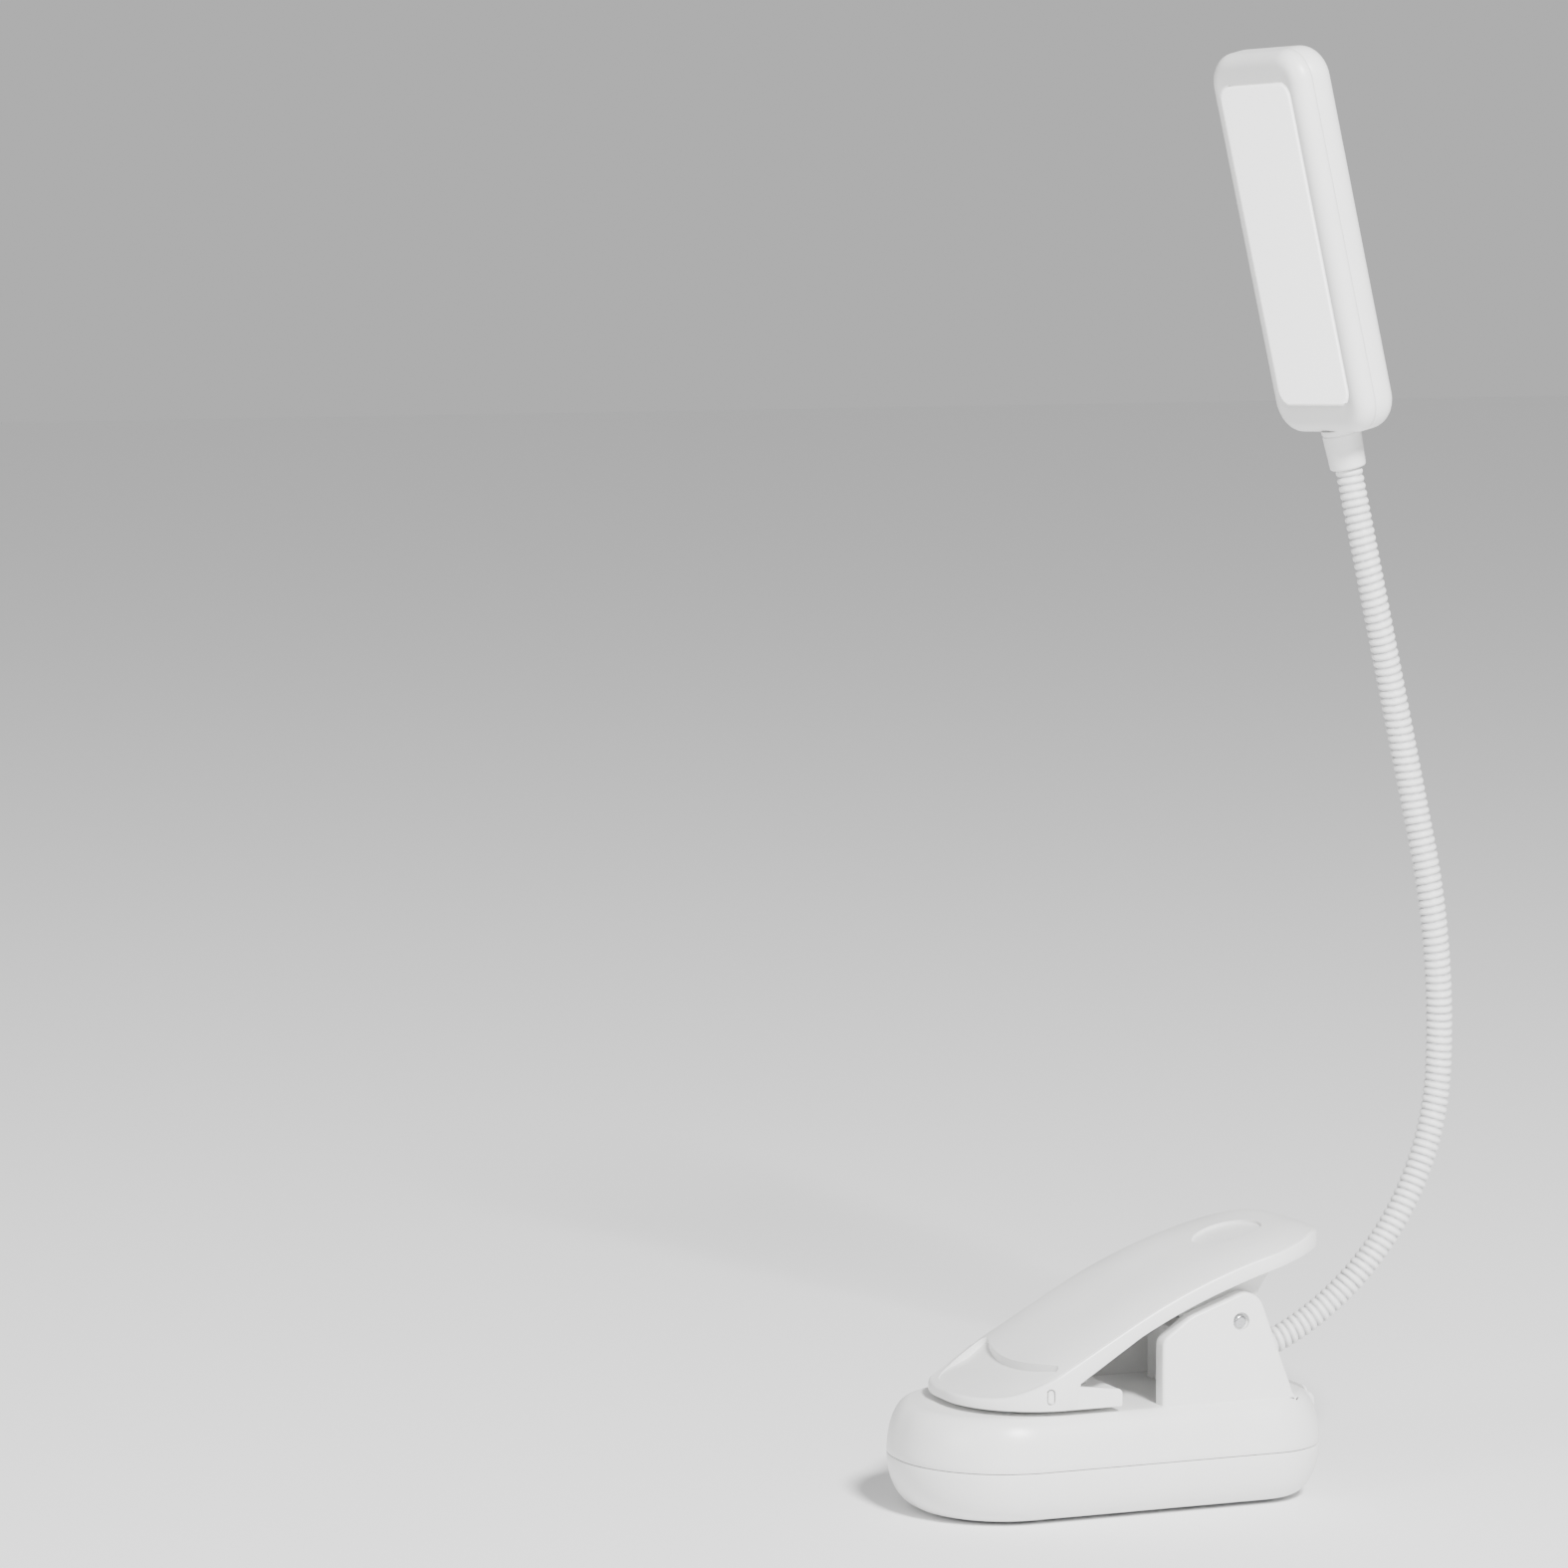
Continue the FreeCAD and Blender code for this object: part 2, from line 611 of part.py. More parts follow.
def neck_block():
    body = new_body("neck_block_body")
    sketch = new_sketch(body, "YZ", "-block_width / 2")
    outline(sketch, [
        ("block_front", deck),
        ("block_back", deck),
        ("block_back - block_lean", "block_top"),
        ("block_front", "block_top"),
    ])
    pad(body, sketch, "block_width")
    top = number("block_top")
    soften(body, "block_round", lambda e: lies_along(e, "x") and abs(e.CenterOfMass.z - top) < 0.01)
    back = "block_back - block_lean"
    for side, sign in SIDES:
        prong = new_sketch(body, "YZ", sign + "prong_across - prong_width / 2")
        outline(prong, [
            (back + " - prong_sink", "block_top - prong_root"),
            (back + " + prong_depth", "block_top - prong_root"),
            (back + " + prong_depth", "block_top"),
            (back + " + prong_depth / 2", "prong_tip"),
            (back + " - prong_sink", "prong_tip"),
        ])
        pad(body, prong, "prong_width")
    neck_way = rod("block_neck_way", "z", "neck_radius + pin_fit", "2 * anchor_length", "0", "0",
                   "-anchor_length")
    move = LINKS[0][0]
    for letter in "xyz":
        neck_way.setExpression("Placement.Base." + letter, None)
    neck_way.Placement = move * FreeCAD.Placement(
        FreeCAD.Vector(0, 0, -number("anchor_length")), FreeCAD.Rotation())
    lead_way = rod("block_lead_way", "z", "lead_way_radius", neck_root_height + " - base_height", "0",
                   lead_along, deck)
    pilots = [
        rod("block_pilot_" + side, "z", "screw_shank + pilot_gap", "block_screw_length",
            sign + "block_screw_across", "block_screw_along", deck)
        for side, sign in SIDES
    ]
    leg_way = base_leg("block_leg_way", wire_radius)
    return cut("neck_block", body, [neck_way, lead_way, leg_way] + pilots)


def hinge_pin():
    body = new_body("hinge_pin")
    sketch = new_sketch(body, "YZ", "-ear_outer")
    circle(sketch, "pin_along", "pin_height", "pin_radius")
    pad(body, sketch, "2 * ear_outer")
    soften(body, "pin_dome", lambda edge: not lies_along(edge, "x"))
    return body


coil_length = "(spring_turns * spring_pitch)"
wire_radius = "(spring_wire / 2)"
turn_radius = "(spring_outer - spring_wire / 2)"


def coil_tube(name, start, length):
    outer = rod(name + "_outer", "x", "spring_outer", length, start, "pin_along", "pin_height")
    inner = rod(name + "_inner", "x", "spring_outer - spring_wire", length, start, "pin_along", "pin_height")
    return cut(name, outer, [inner])


def base_leg(name, radius):
    """The coil's straight end, which drops into a hole in the block."""
    return rod(name, "z", radius, "pin_height - block_top + spring_leg_sink",
               "spring_end - " + wire_radius, "pin_along - " + turn_radius, "block_top - spring_leg_sink")


def torsion_spring_coil():
    tube = coil_tube("coil_tube", "spring_end - " + coil_length, coil_length)
    return fuse("torsion_spring_coil", [tube, base_leg("coil_leg", wire_radius)])


def lever_leg(name):
    """The coil's other end, which leaves it at a tangent and reaches up under the lever's tail."""
    angle = math.radians(number("spring_leg_angle"))
    radius = number(turn_radius)
    leg = doc.addObject("Part::Cylinder", name)
    bind(leg, "Radius", wire_radius)
    bind(leg, "Height", "spring_leg_length")
    start = FreeCAD.Vector(
        number("spring_end - spring_wire / 2 - spring_gap - " + coil_length + " - spring_wire / 2"),
        number("pin_along") - radius * math.sin(angle),
        number("pin_height") + radius * math.cos(angle),
    )
    leg.Placement = FreeCAD.Placement(start, across_turn(math.degrees(angle) - 90))
    return leg


def torsion_spring_leg():
    """The spring's last turn and its leg, which move with the lever."""
    start = "spring_end - %s - spring_gap - spring_wire" % coil_length
    return fuse("torsion_spring_leg", [coil_tube("leg_turn", start, "spring_wire"), lever_leg("leg_wire")])


# ---- lever and jaw -----------------------------------------------------------------------------


def lever_side(name, drop, inset, floor):
    """The lever's side view: its top line lowered by drop, its ends drawn in by inset."""
    body = new_body(name)
    sketch = new_sketch(body, "YZ", "-lever_width / 2")
    nose, tail = "lever_nose + %s" % inset, "lever_tail - %s" % inset
    outline(sketch, floor(nose, tail) + [
        (tail, "tail_height - " + drop),
        ("crown_along", "crown_height - " + drop, "crown_radius - " + drop, 1),
        ("slope_along", "slope_height - " + drop),
        ("brow_along", "brow_height - " + drop),
        (nose, "lip_top - " + drop),
    ])
    pad(body, sketch, "lever_width")
    return body


def lever_plan(name, inset):
    """The lever's plan, with a round nose and a round tail, taller than the lever."""
    body = new_body(name)
    sketch = new_sketch(body, "XY", "0")
    across = "(lever_width / 2 - %s)" % inset
    rounded_rectangle(sketch, "-" + across, across, "(lever_nose + %s)" % inset,
                      "(lever_tail - %s)" % inset, "(nose_plan_round - %s)" % inset,
                      "(tail_plan_round - %s)" % inset)
    pad(body, sketch, "2 * crown_height")
    return body


def meet(name, pieces):
    thing = doc.addObject("Part::MultiCommon", name)
    thing.Shapes = pieces
    return thing


def rim_floor(nose, tail):
    return [
        (nose, "lip_bottom"),
        ("heel_along", "lip_bottom"),
        ("heel_along", "heel_height"),
        ("slope_along", "slope_height - rim_depth", "crown_radius", -1),
        ("crown_along", "crown_height - rim_depth"),
        (tail, "tail_height - rim_depth"),
    ]


def open_floor(nose, tail):
    return [(nose, "lip_bottom - lever_sheet"), (tail, "lip_bottom - lever_sheet")]


def chord(along):
    """A height just inside the sheet of the lever's curved crown."""
    slope = "(crown_height - slope_height) / (crown_along - slope_along)"
    return "(slope_height + (%s - slope_along) * %s)" % (along, slope)


def slab(name, start, thickness, corners):
    body = new_body(name)
    sketch = new_sketch(body, "YZ", start)
    outline(sketch, corners)
    pad(body, sketch, thickness)
    return body


def crown_frame(depth):
    """A frame on the touch spot, depth below the crown, with +Z square to the surface."""
    start = FreeCAD.Vector(number("crown_along"), number("crown_height"), 0)
    finish = FreeCAD.Vector(number("slope_along"), number("slope_height"), 0)
    centre = arc_between(start, finish, number("crown_radius")).Center
    along = number("touch_along") - centre.x
    lean = math.asin(along / number("crown_radius"))
    reach = number("crown_radius") - depth
    spot = FreeCAD.Vector(0, centre.x + reach * math.sin(lean), centre.y + reach * math.cos(lean))
    return FreeCAD.Placement(spot, across_turn(-math.degrees(lean)))


def touch_disc(name, radius, depth):
    disc = doc.addObject("Part::Cylinder", name)
    bind(disc, "Radius", radius)
    bind(disc, "Height", "electrode_thickness")
    disc.Placement = crown_frame(depth)
    return disc


def touch_electrode():
    return touch_disc("touch_electrode", "electrode_radius", number("lever_sheet"))


def dish():
    """The ball that scoops the shallow touch dish."""
    radius = "(touch_radius ^ 2 + touch_depth ^ 2) / (2 * touch_depth)"
    scoop = doc.addObject("Part::Sphere", "touch_scoop")
    bind(scoop, "Radius", radius)
    scoop.Placement = crown_frame(number("touch_depth - " + radius))
    return scoop


cheek_start = "(block_width / 2 + cheek_gap)"


def cheek(name, start):
    return slab(name, start, "cheek_thickness", [
        ("cheek_front", chord("cheek_front")),
        ("pin_along - cheek_radius", "pin_height", "1.001 * cheek_radius", 1),
        ("pin_along + cheek_radius", "pin_height"),
        ("cheek_back", chord("cheek_back")),
    ])


def lever_shell():
    outer = meet("lever_outer", [lever_side("lever_outer_side", "0", "0", rim_floor),
                                 lever_plan("lever_outer_plan", "0")])
    inner = meet("lever_inner", [lever_side("lever_inner_side", "lever_sheet", "rim_wall", open_floor),
                                 lever_plan("lever_inner_plan", "rim_wall")])
    cover = cut("lever_cover", outer, [inner])
    bar = slab("lever_bar", "-" + cheek_start, "2 * " + cheek_start, [
        ("bar_along", chord("bar_along") + " - bar_drop"),
        ("bar_along + bar_depth", chord("bar_along") + " - bar_drop"),
        ("bar_along + bar_depth", chord("bar_along + bar_depth")),
        ("bar_along", chord("bar_along")),
    ])
    posts = [
        rod("jaw_post_" + side, "z", "jaw_post_radius", "%s - jaw_top" % slope_at("jaw_post_along"),
            sign + "jaw_post_across", "jaw_post_along", "jaw_top")
        for side, sign in SIDES
    ]
    cheeks = [
        cheek("cheek_left", "-%s - cheek_thickness" % cheek_start),
        cheek("cheek_right", cheek_start),
    ]
    solid = fuse("lever_solid", [cover, bar] + cheeks + posts)
    pin_way = rod("lever_pin_way", "x", "pin_radius + pin_fit", "lever_width", "-lever_width / 2",
                  "pin_along", "pin_height")
    pilots = [
        rod("jaw_pilot_" + side, "z", "screw_shank + pilot_gap", "jaw_screw_length + pilot_spare",
            sign + "jaw_post_across", "jaw_post_along", "lip_bottom + pad_sink + screw_head_depth")
        for side, sign in SIDES
    ]
    seat = touch_disc("electrode_seat", "electrode_radius", number("lever_sheet"))
    return cut("lever_shell", solid, [pin_way, dish(), seat, lever_leg("leg_seat")] + pilots)


def slope_at(along):
    """A height just inside the sheet of the lever's straight slope."""
    rate = "(slope_height - brow_height) / (slope_along - brow_along)"
    return "(brow_height + (%s - brow_along) * %s - lever_sheet / 2)" % (along, rate)


def jaw_seat(name):
    return box(name, "-pad_half_width", "pad_front", "lip_bottom - pad_thickness + pad_sink",
               "2 * pad_half_width", "pad_back - pad_front", "pad_thickness")


def jaw_screws():
    return group("jaw_screws", [
        screw("jaw_screw_" + side, sign + "jaw_post_across", "jaw_post_along", "lip_bottom + pad_sink",
              "jaw_screw_length")
        for side, sign in SIDES
    ])


def jaw_plate():
    nose = "lever_nose + rim_wall + jaw_gap"
    side = slab("jaw_side", "-lever_width / 2", "lever_width", [
        (nose, "lip_bottom"),
        ("jaw_back", "lip_bottom"),
        ("jaw_back", "jaw_top"),
        ("brow_along + jaw_slope", "jaw_top"),
        (nose, "lip_top - lever_sheet - jaw_gap"),
    ])
    blank = meet("jaw_blank", [side, lever_plan("jaw_plan", "(rim_wall + jaw_gap)")])
    ways = []
    for side, sign in SIDES:
        spot = (sign + "jaw_post_across", "jaw_post_along")
        ways.append(rod("jaw_head_way_" + side, "z", "screw_head + pin_fit", "screw_head_depth", *spot,
                        "lip_bottom + pad_sink"))
        ways.append(rod("jaw_shank_way_" + side, "z", "screw_shank + pin_fit", "jaw_top - lip_bottom",
                        *spot, "lip_bottom + pad_sink"))
    return cut("jaw_plate", blank, [jaw_seat("jaw_pad_seat")] + ways)


def jaw_pad():
    return jaw_seat("jaw_pad")


def base_jaw_pad():
    return box("base_jaw_pad", "-pad_half_width", "pad_front", "base_height - pad_sink",
               "2 * pad_half_width", "pad_back - pad_front", "pad_thickness")


# ---- head: in its own frame, +Z up its length and -Y out of its lit face -----------------------

HEAD = NECK_END * FreeCAD.Placement(FreeCAD.Vector(), FreeCAD.Rotation(
    FreeCAD.Vector(0, 0, 1), number("head_twist")))
half_thickness = "(head_thickness / 2)"
head_middle = "(collar_length + head_height / 2)"
cavity_half = "(head_thickness / 2 - head_wall)"


def face(body, offset, width, height, corner):
    """A round-cornered rectangle about the head's middle on an upright plane, offset towards the
    lit face."""
    sketch = new_sketch(body, "XZ", offset)
    rounded_rectangle(sketch, "-%s / 2" % width, "%s / 2" % width,
                      "(%s - %s / 2)" % (head_middle, height), "(%s + %s / 2)" % (head_middle, height),
                      corner, corner)
    return sketch


def head_face(body, offset, inset="0"):
    return face(body, offset, "(head_width - 2 * %s)" % inset, "(head_height - 2 * %s)" % inset,
                "(head_corner - %s)" % inset)


def window_face(body, offset, growth="0"):
    return face(body, offset, "(window_width + 2 * %s)" % growth, "(window_height + 2 * %s)" % growth,
                "(window_round + %s)" % growth)


def head_opening(name, body):
    """Cuts the hole for the neck's end through the head's lower wall."""
    way = rod(name + "_neck_way", "z", "neck_radius + pin_fit",
              "1.5 * head_wall + nut_height + pin_fit", "0", "0", "collar_length - head_wall / 2")
    shell = cut(name, body, [way])
    shell.Placement = HEAD
    return shell


def head_rear_shell():
    body = new_body("head_rear_body")
    pad(body, head_face(body, "-" + half_thickness), half_thickness + " + head_split")
    soften(body, "head_back_round", lambda e: at_level(e, "Y", number(half_thickness)))
    pocket(body, head_face(body, "head_split", "head_wall"), cavity_half + " + head_split")
    return head_opening("head_rear_shell", body)


def head_front_frame():
    body = new_body("head_front_body")
    pad(body, head_face(body, "head_split"), half_thickness + " - head_split")
    soften(body, "head_front_round", lambda e: at_level(e, "Y", -number(half_thickness)))
    pocket(body, head_face(body, "head_split", "head_wall"), cavity_half + " - head_split", ahead=True)
    pocket(body, window_face(body, half_thickness), "2 * head_wall")
    return head_opening("head_front_frame", body)


def diffuser_panel():
    body = new_body("diffuser_panel")
    pad(body, window_face(body, cavity_half + " - flange_thickness", "diffuser_flange"),
        "flange_thickness")
    pad(body, window_face(body, cavity_half, "(-diffuser_gap)"), "head_wall + diffuser_proud")
    body.Placement = HEAD
    return body


led_front = "(%s - led_board_thickness)" % cavity_half


def reflector_frame():
    body = new_body("reflector_frame")
    depth = "%s + %s - flange_thickness" % (led_front, cavity_half)
    pad(body, window_face(body, "-" + led_front, "diffuser_flange"), depth)
    pocket(body, window_face(body, "-" + led_front), depth, ahead=True)
    body.Placement = HEAD
    return body


def led_board():
    body = new_body("led_board")
    pad(body, window_face(body, "-" + cavity_half, "diffuser_flange"), "led_board_thickness")
    body.Placement = HEAD
    return body


LED_ROWS = 7


def led_chips():
    chips = []
    for row in range(LED_ROWS):
        for side, sign in SIDES:
            level = "%s + led_pitch * %d - led_size / 2" % (head_middle, row - LED_ROWS // 2)
            chips.append(box("led_%s_%d" % (side, row), sign + "led_across - led_size / 2",
                             led_front + " - led_height", level, "led_size", "led_height", "led_size"))
    chips = group("led_chips", chips)
    chips.Placement = HEAD
    return chips


def neck_collar():
    cone = doc.addObject("Part::Cone", "collar_cone")
    bind(cone, "Radius1", "collar_bottom")
    bind(cone, "Radius2", "collar_top")
    bind(cone, "Height", "collar_length")
    bore = rod("collar_bore", "z", "neck_radius", "2 * collar_length", "0", "0", "-collar_length / 2")
    collar = cut("neck_collar", cone, [bore])
    collar.Placement = HEAD
    return collar


def neck_end_nut():
    """The neck's fixed end, held inside the head by a flat plate."""
    inside = "(collar_length + head_wall)"
    tube = rod("end_tube", "z", "neck_radius", inside + " + nut_height", "0", "0", "0")
    plate = box("end_plate", "-nut_width / 2", "-nut_depth / 2", inside, "nut_width", "nut_depth",
                "nut_height")
    bore = rod("end_bore", "z", "neck_bore", "2 * " + inside, "0", "0", "-" + inside + " / 2")
    nut = cut("neck_end_nut", fuse("end_solid", [tube, plate]), [bore])
    nut.Placement = HEAD
    return nut


def head_leads():
    start = "(collar_length + head_wall + nut_height)"
    leads = group("head_leads", [
        rod("head_lead_" + side, "z", "lead_radius",
            "%s - window_height / 2 - diffuser_flange - %s" % (head_middle, start), sign + "head_lead_across", "%s - lead_radius" % cavity_half, start)
        for side, sign in SIDES
    ])
    leads.Placement = HEAD
    return leads


# ---- build, check and write --------------------------------------------------------------------

PIECES = [
    base_lower_shell, base_upper_shell, grip_sheet, shell_screws, usb_shell, usb_tongue,
    port_trim_ring, battery_cell, battery_leads, main_board, board_components, neck_block,
    block_screws, neck_anchor, hinge_pin, torsion_spring_coil, base_jaw_pad,
    lever_shell, jaw_plate, jaw_pad, jaw_screws, touch_electrode, torsion_spring_leg,
    neck_collar, neck_end_nut, head_rear_shell, head_front_frame, diffuser_panel, reflector_frame,
    led_board, led_chips, head_leads,
]

nodes = {}
for make in PIECES:
    nodes[make.__name__] = make()
for index in range(len(LINKS)):
    nodes["neck_link_%02d" % (index + 1)] = neck_link(index)
doc.recompute()

for name, node in nodes.items():
    node.Label = name
for thing in doc.Objects:
    if "Invalid" in thing.State or "Error" in thing.State:
        raise ValueError("%s failed: %s" % (thing.Name, thing.State))
for name, node in nodes.items():
    if node.Shape.isNull() or not node.Shape.isValid() or not node.Shape.Solids:
        raise ValueError(name + " has no valid solid")

os.makedirs("parts", exist_ok=True)
for name, node in nodes.items():
    node.Shape.exportStep("parts/%s.step" % name)
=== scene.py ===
import math

import bmesh
import bpy
import numpy as np
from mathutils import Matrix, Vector


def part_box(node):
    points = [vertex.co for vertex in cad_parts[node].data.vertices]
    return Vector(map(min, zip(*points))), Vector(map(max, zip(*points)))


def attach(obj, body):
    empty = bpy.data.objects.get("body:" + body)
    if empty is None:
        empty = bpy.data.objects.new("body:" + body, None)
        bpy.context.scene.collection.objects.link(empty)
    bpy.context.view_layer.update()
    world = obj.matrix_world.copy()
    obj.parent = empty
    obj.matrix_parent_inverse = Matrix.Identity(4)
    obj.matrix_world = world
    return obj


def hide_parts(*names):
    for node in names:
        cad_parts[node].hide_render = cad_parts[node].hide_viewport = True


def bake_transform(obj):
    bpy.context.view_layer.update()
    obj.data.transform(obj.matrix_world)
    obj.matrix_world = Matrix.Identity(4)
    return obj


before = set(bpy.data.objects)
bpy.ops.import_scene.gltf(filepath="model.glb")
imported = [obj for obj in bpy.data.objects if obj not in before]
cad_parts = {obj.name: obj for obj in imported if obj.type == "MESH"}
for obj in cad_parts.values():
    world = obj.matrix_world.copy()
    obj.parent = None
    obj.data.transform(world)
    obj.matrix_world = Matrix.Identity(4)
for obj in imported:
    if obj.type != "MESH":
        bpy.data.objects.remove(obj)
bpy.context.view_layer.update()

# Clip on reading lamp, metres, +Z up, the clip's nose towards -Y. Shapes are worked out in
# millimetres and turned to metres where they become a mesh.
mm = 0.001
finishes = {}
print("frame loaded:", len(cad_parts), "nodes")


# finishes

def linear(hexText):
    # sRGB hex to linear: c/12.92 below 0.04045, else ((c + 0.055)/1.055)^2.4
    c = np.array([int(hexText[i:i + 2], 16) / 255 for i in (0, 2, 4)])
    return (*np.where(c < 0.04045, c / 12.92, ((c + 0.055) / 1.055) ** 2.4), 1.0)


def addNode(tree, kind, settings=None, values=None, links=None):
    # settings are the node's own choices, values go on its sockets, links join (node, output)
    node = tree.nodes.new(kind)
    for key, value in (settings or {}).items():
        setattr(node, key, value)
    for key, value in (values or {}).items():
        node.inputs[key].default_value = value
    for key, (source, output) in (links or {}).items():
        tree.links.new(source.outputs[output], node.inputs[key])
    return node


def startFinish(name, colour, roughness, **sockets):
    # a material with its shader; further constants go straight on the shader's sockets
    material = bpy.data.materials.new(name)
    material.use_nodes = True
    tree = material.node_tree
    tree.nodes.clear()
    values = {"Base Color": linear(colour), "Roughness": roughness}
    values.update({key.replace("_", " "): value for key, value in sockets.items()})
    shader = addNode(tree, "ShaderNodeBsdfPrincipled", values=values)
    addNode(tree, "ShaderNodeOutputMaterial", links={"Surface": (shader, "BSDF")})
    place = addNode(tree, "ShaderNodeTexCoord")
    middle = addNode(tree, "ShaderNodeMapping", links={"Vector": (place, "Object")})
    return material, tree, shader, middle


def grain(tree, shader, middle, size, height, detail=3.0):
    # bump from noise whose bumps are about size mm across and height mm tall
    noise = addNode(tree, "ShaderNodeTexNoise", values={"Scale": 1 / (size * mm), "Detail": detail},
                    links={"Vector": (middle, "Vector")})
    bump = addNode(tree, "ShaderNodeBump", values={"Strength": 1.0, "Distance": height * mm},
                   links={"Height": (noise, "Fac")})
    tree.links.new(bump.outputs["Normal"], shader.inputs["Normal"])
    return noise, bump


def setMix(node, first, second):
    # the colour sockets of a Mix node share their names with its number sockets
    sockets = [s for s in node.inputs if s.type == "RGBA"]
    sockets[0].default_value = linear(first)
    sockets[1].default_value = linear(second)


def tintBy(tree, shader, source, output, first, second):
    # colour runs from first to second as a pattern runs from 0 to 1
    tint = tree.nodes.new("ShaderNodeMix")
    tint.data_type = "RGBA"
    setMix(tint, first, second)
    tree.links.new(source.outputs[output], tint.inputs[0])
    tree.links.new([s for s in tint.outputs if s.type == "RGBA"][0], shader.inputs["Base Color"])


def roughBy(tree, shader, source, output, low, high):
    # roughness runs from low to high as noise runs over its middle range
    gloss = addNode(tree, "ShaderNodeMapRange", values={"From Min": 0.3, "From Max": 0.7,
                    "To Min": low, "To Max": high}, links={"Value": (source, output)})
    tree.links.new(gloss.outputs["Result"], shader.inputs["Roughness"])


def slowNoise(tree, middle, size):
    return addNode(tree, "ShaderNodeTexNoise", values={"Scale": 1 / (size * mm), "Detail": 2.0},
                   links={"Vector": (middle, "Vector")})


def mouldedWhite():
    # ABS from a finely spark-eroded mould: near white, satin, a sheen broken by fine grain
    material, tree, shader, middle = startFinish("abs_moulded_satin_white", "e2e2e1", 0.34, IOR=1.54)
    grain(tree, shader, middle, 0.35, 0.012)
    slow = slowNoise(tree, middle, 9)
    tintBy(tree, shader, slow, "Fac", "e6e6e5", "ececeb")
    roughBy(tree, shader, slow, "Fac", 0.31, 0.38)
    return material


def coatedNeck():
    # flexible metal hose dipped in soft white PU: matt, drawn into ridges, with painted shade darkening
    # the valleys
    material, tree, shader, middle = startFinish("pu_dipped_gooseneck_white", "e4e4e3", 0.46, IOR=1.5)
    noise, _ = grain(tree, shader, middle, 0.9, 0.08, 4.0)
    # painted shade: the colour runs from ececeb on the ridges to 9d9d9f deep in the valleys
    valley = addNode(tree, "ShaderNodeAttribute", {"attribute_name": "valley"})
    tintBy(tree, shader, valley, "Fac", "ececeb", "9d9d9f")
    roughBy(tree, shader, noise, "Fac", 0.42, 0.54)
    return material


def frostedPanel():
    # opal PMMA light panel: milky, a soft gloss, and a faint painted glow (emission) that lifts it above
    # the light falling on it
    material, tree, shader, middle = startFinish(
        "pmma_opal_frosted", "fbfbfa", 0.42, IOR=1.49, Emission_Color=linear("ffffff"),
        Emission_Strength=1.3)
    grain(tree, shader, middle, 0.25, 0.006)
    slow = slowNoise(tree, middle, 14)
    tintBy(tree, shader, slow, "Fac", "f8f8f7", "fdfdfc")
    return material


def greySilicone():
    # moulded silicone rubber: matt grey, slightly dusty
    material, tree, shader, middle = startFinish("silicone_moulded_grey", "b4b5b8", 0.62, IOR=1.41)
    grain(tree, shader, middle, 0.4, 0.02)
    slow = slowNoise(tree, middle, 5)
    tintBy(tree, shader, slow, "Fac", "adaeb1", "bcbdc0")
    roughBy(tree, shader, slow, "Fac", 0.56, 0.70)
    return material


def brightSteel():
    # nickel plated steel wire and screws: bright, faint drawing marks
    material, tree, shader, middle = startFinish("steel_nickel_plated", "c9cacc", 0.24, Metallic=1.0)
    noise, _ = grain(tree, shader, middle, 0.5, 0.01, 5.0)
    roughBy(tree, shader, noise, "Fac", 0.18, 0.34)
    return material


def blackNylon():
    # glass filled nylon, moulded: near black, dull, with a fine orange-peel
    material, tree, shader, middle = startFinish("nylon_moulded_black", "1c1d1f", 0.5, IOR=1.53)
    noise, _ = grain(tree, shader, middle, 0.5, 0.02)
    tintBy(tree, shader, noise, "Fac", "18191b", "232427")
    return material


def pouchFoil():
    # aluminium laminate of a pouch cell: silver grey, soft creases
    material, tree, shader, middle = startFinish("aluminium_pouch_foil", "c2c4c6", 0.35, Metallic=0.9)
    noise, _ = grain(tree, shader, middle, 6.0, 0.25, 4.0)
    roughBy(tree, shader, noise, "Fac", 0.28, 0.46)
    return material


def leadJacket():
    # extruded PVC insulation: red, smooth, slightly waxy
    material, tree, shader, middle = startFinish("pvc_extruded_red", "b3262a", 0.4, IOR=1.53)
    noise, _ = grain(tree, shader, middle, 0.6, 0.01)
    tintBy(tree, shader, noise, "Fac", "a82327", "bd2c30")
    return material


def greenBoard():
    # FR4 with green solder mask: smooth, darker lanes where copper runs below
    material, tree, shader, middle = startFinish("fr4_green_mask", "1f5a3a", 0.36, IOR=1.55)
    lanes = addNode(tree, "ShaderNodeTexVoronoi", {"feature": "F1", "distance": "MANHATTAN"},
                    {"Scale": 1 / (2.5 * mm)}, {"Vector": (middle, "Vector")})
    tintBy(tree, shader, lanes, "Distance", "1b5034", "2b6f49")
    bump = addNode(tree, "ShaderNodeBump", values={"Strength": 0.6, "Distance": 0.03 * mm},
                   links={"Height": (lanes, "Distance")})
    tree.links.new(bump.outputs["Normal"], shader.inputs["Normal"])
    return material


def whiteBoard():
    # aluminium core board with white mask: matt, chalky
    material, tree, shader, middle = startFinish("aluminium_board_white_mask", "ececea", 0.5, IOR=1.5)
    noise, _ = grain(tree, shader, middle, 0.3, 0.006)
    tintBy(tree, shader, noise, "Fac", "e7e7e5", "f1f1ef")
    return material


def copperFilm():
    # rolled copper touch electrode: warm metal, fine rolling lines across
    material, tree, shader, middle = startFinish("copper_rolled_film", "c47d55", 0.3, Metallic=1.0)
    middle.inputs["Scale"].default_value = (1.0, 8.0, 1.0)
    noise, _ = grain(tree, shader, middle, 1.2, 0.01, 5.0)
    roughBy(tree, shader, noise, "Fac", 0.22, 0.40)
    return material


def phosphorGel():
    # yellow phosphor in silicone on each LED: smooth and slightly domed to the eye
    material, tree, shader, middle = startFinish("led_phosphor_gel", "e9d27a", 0.22, IOR=1.41)
    noise, _ = grain(tree, shader, middle, 0.3, 0.01)
    tintBy(tree, shader, noise, "Fac", "e2c86a", "f0dc8c")
    return material


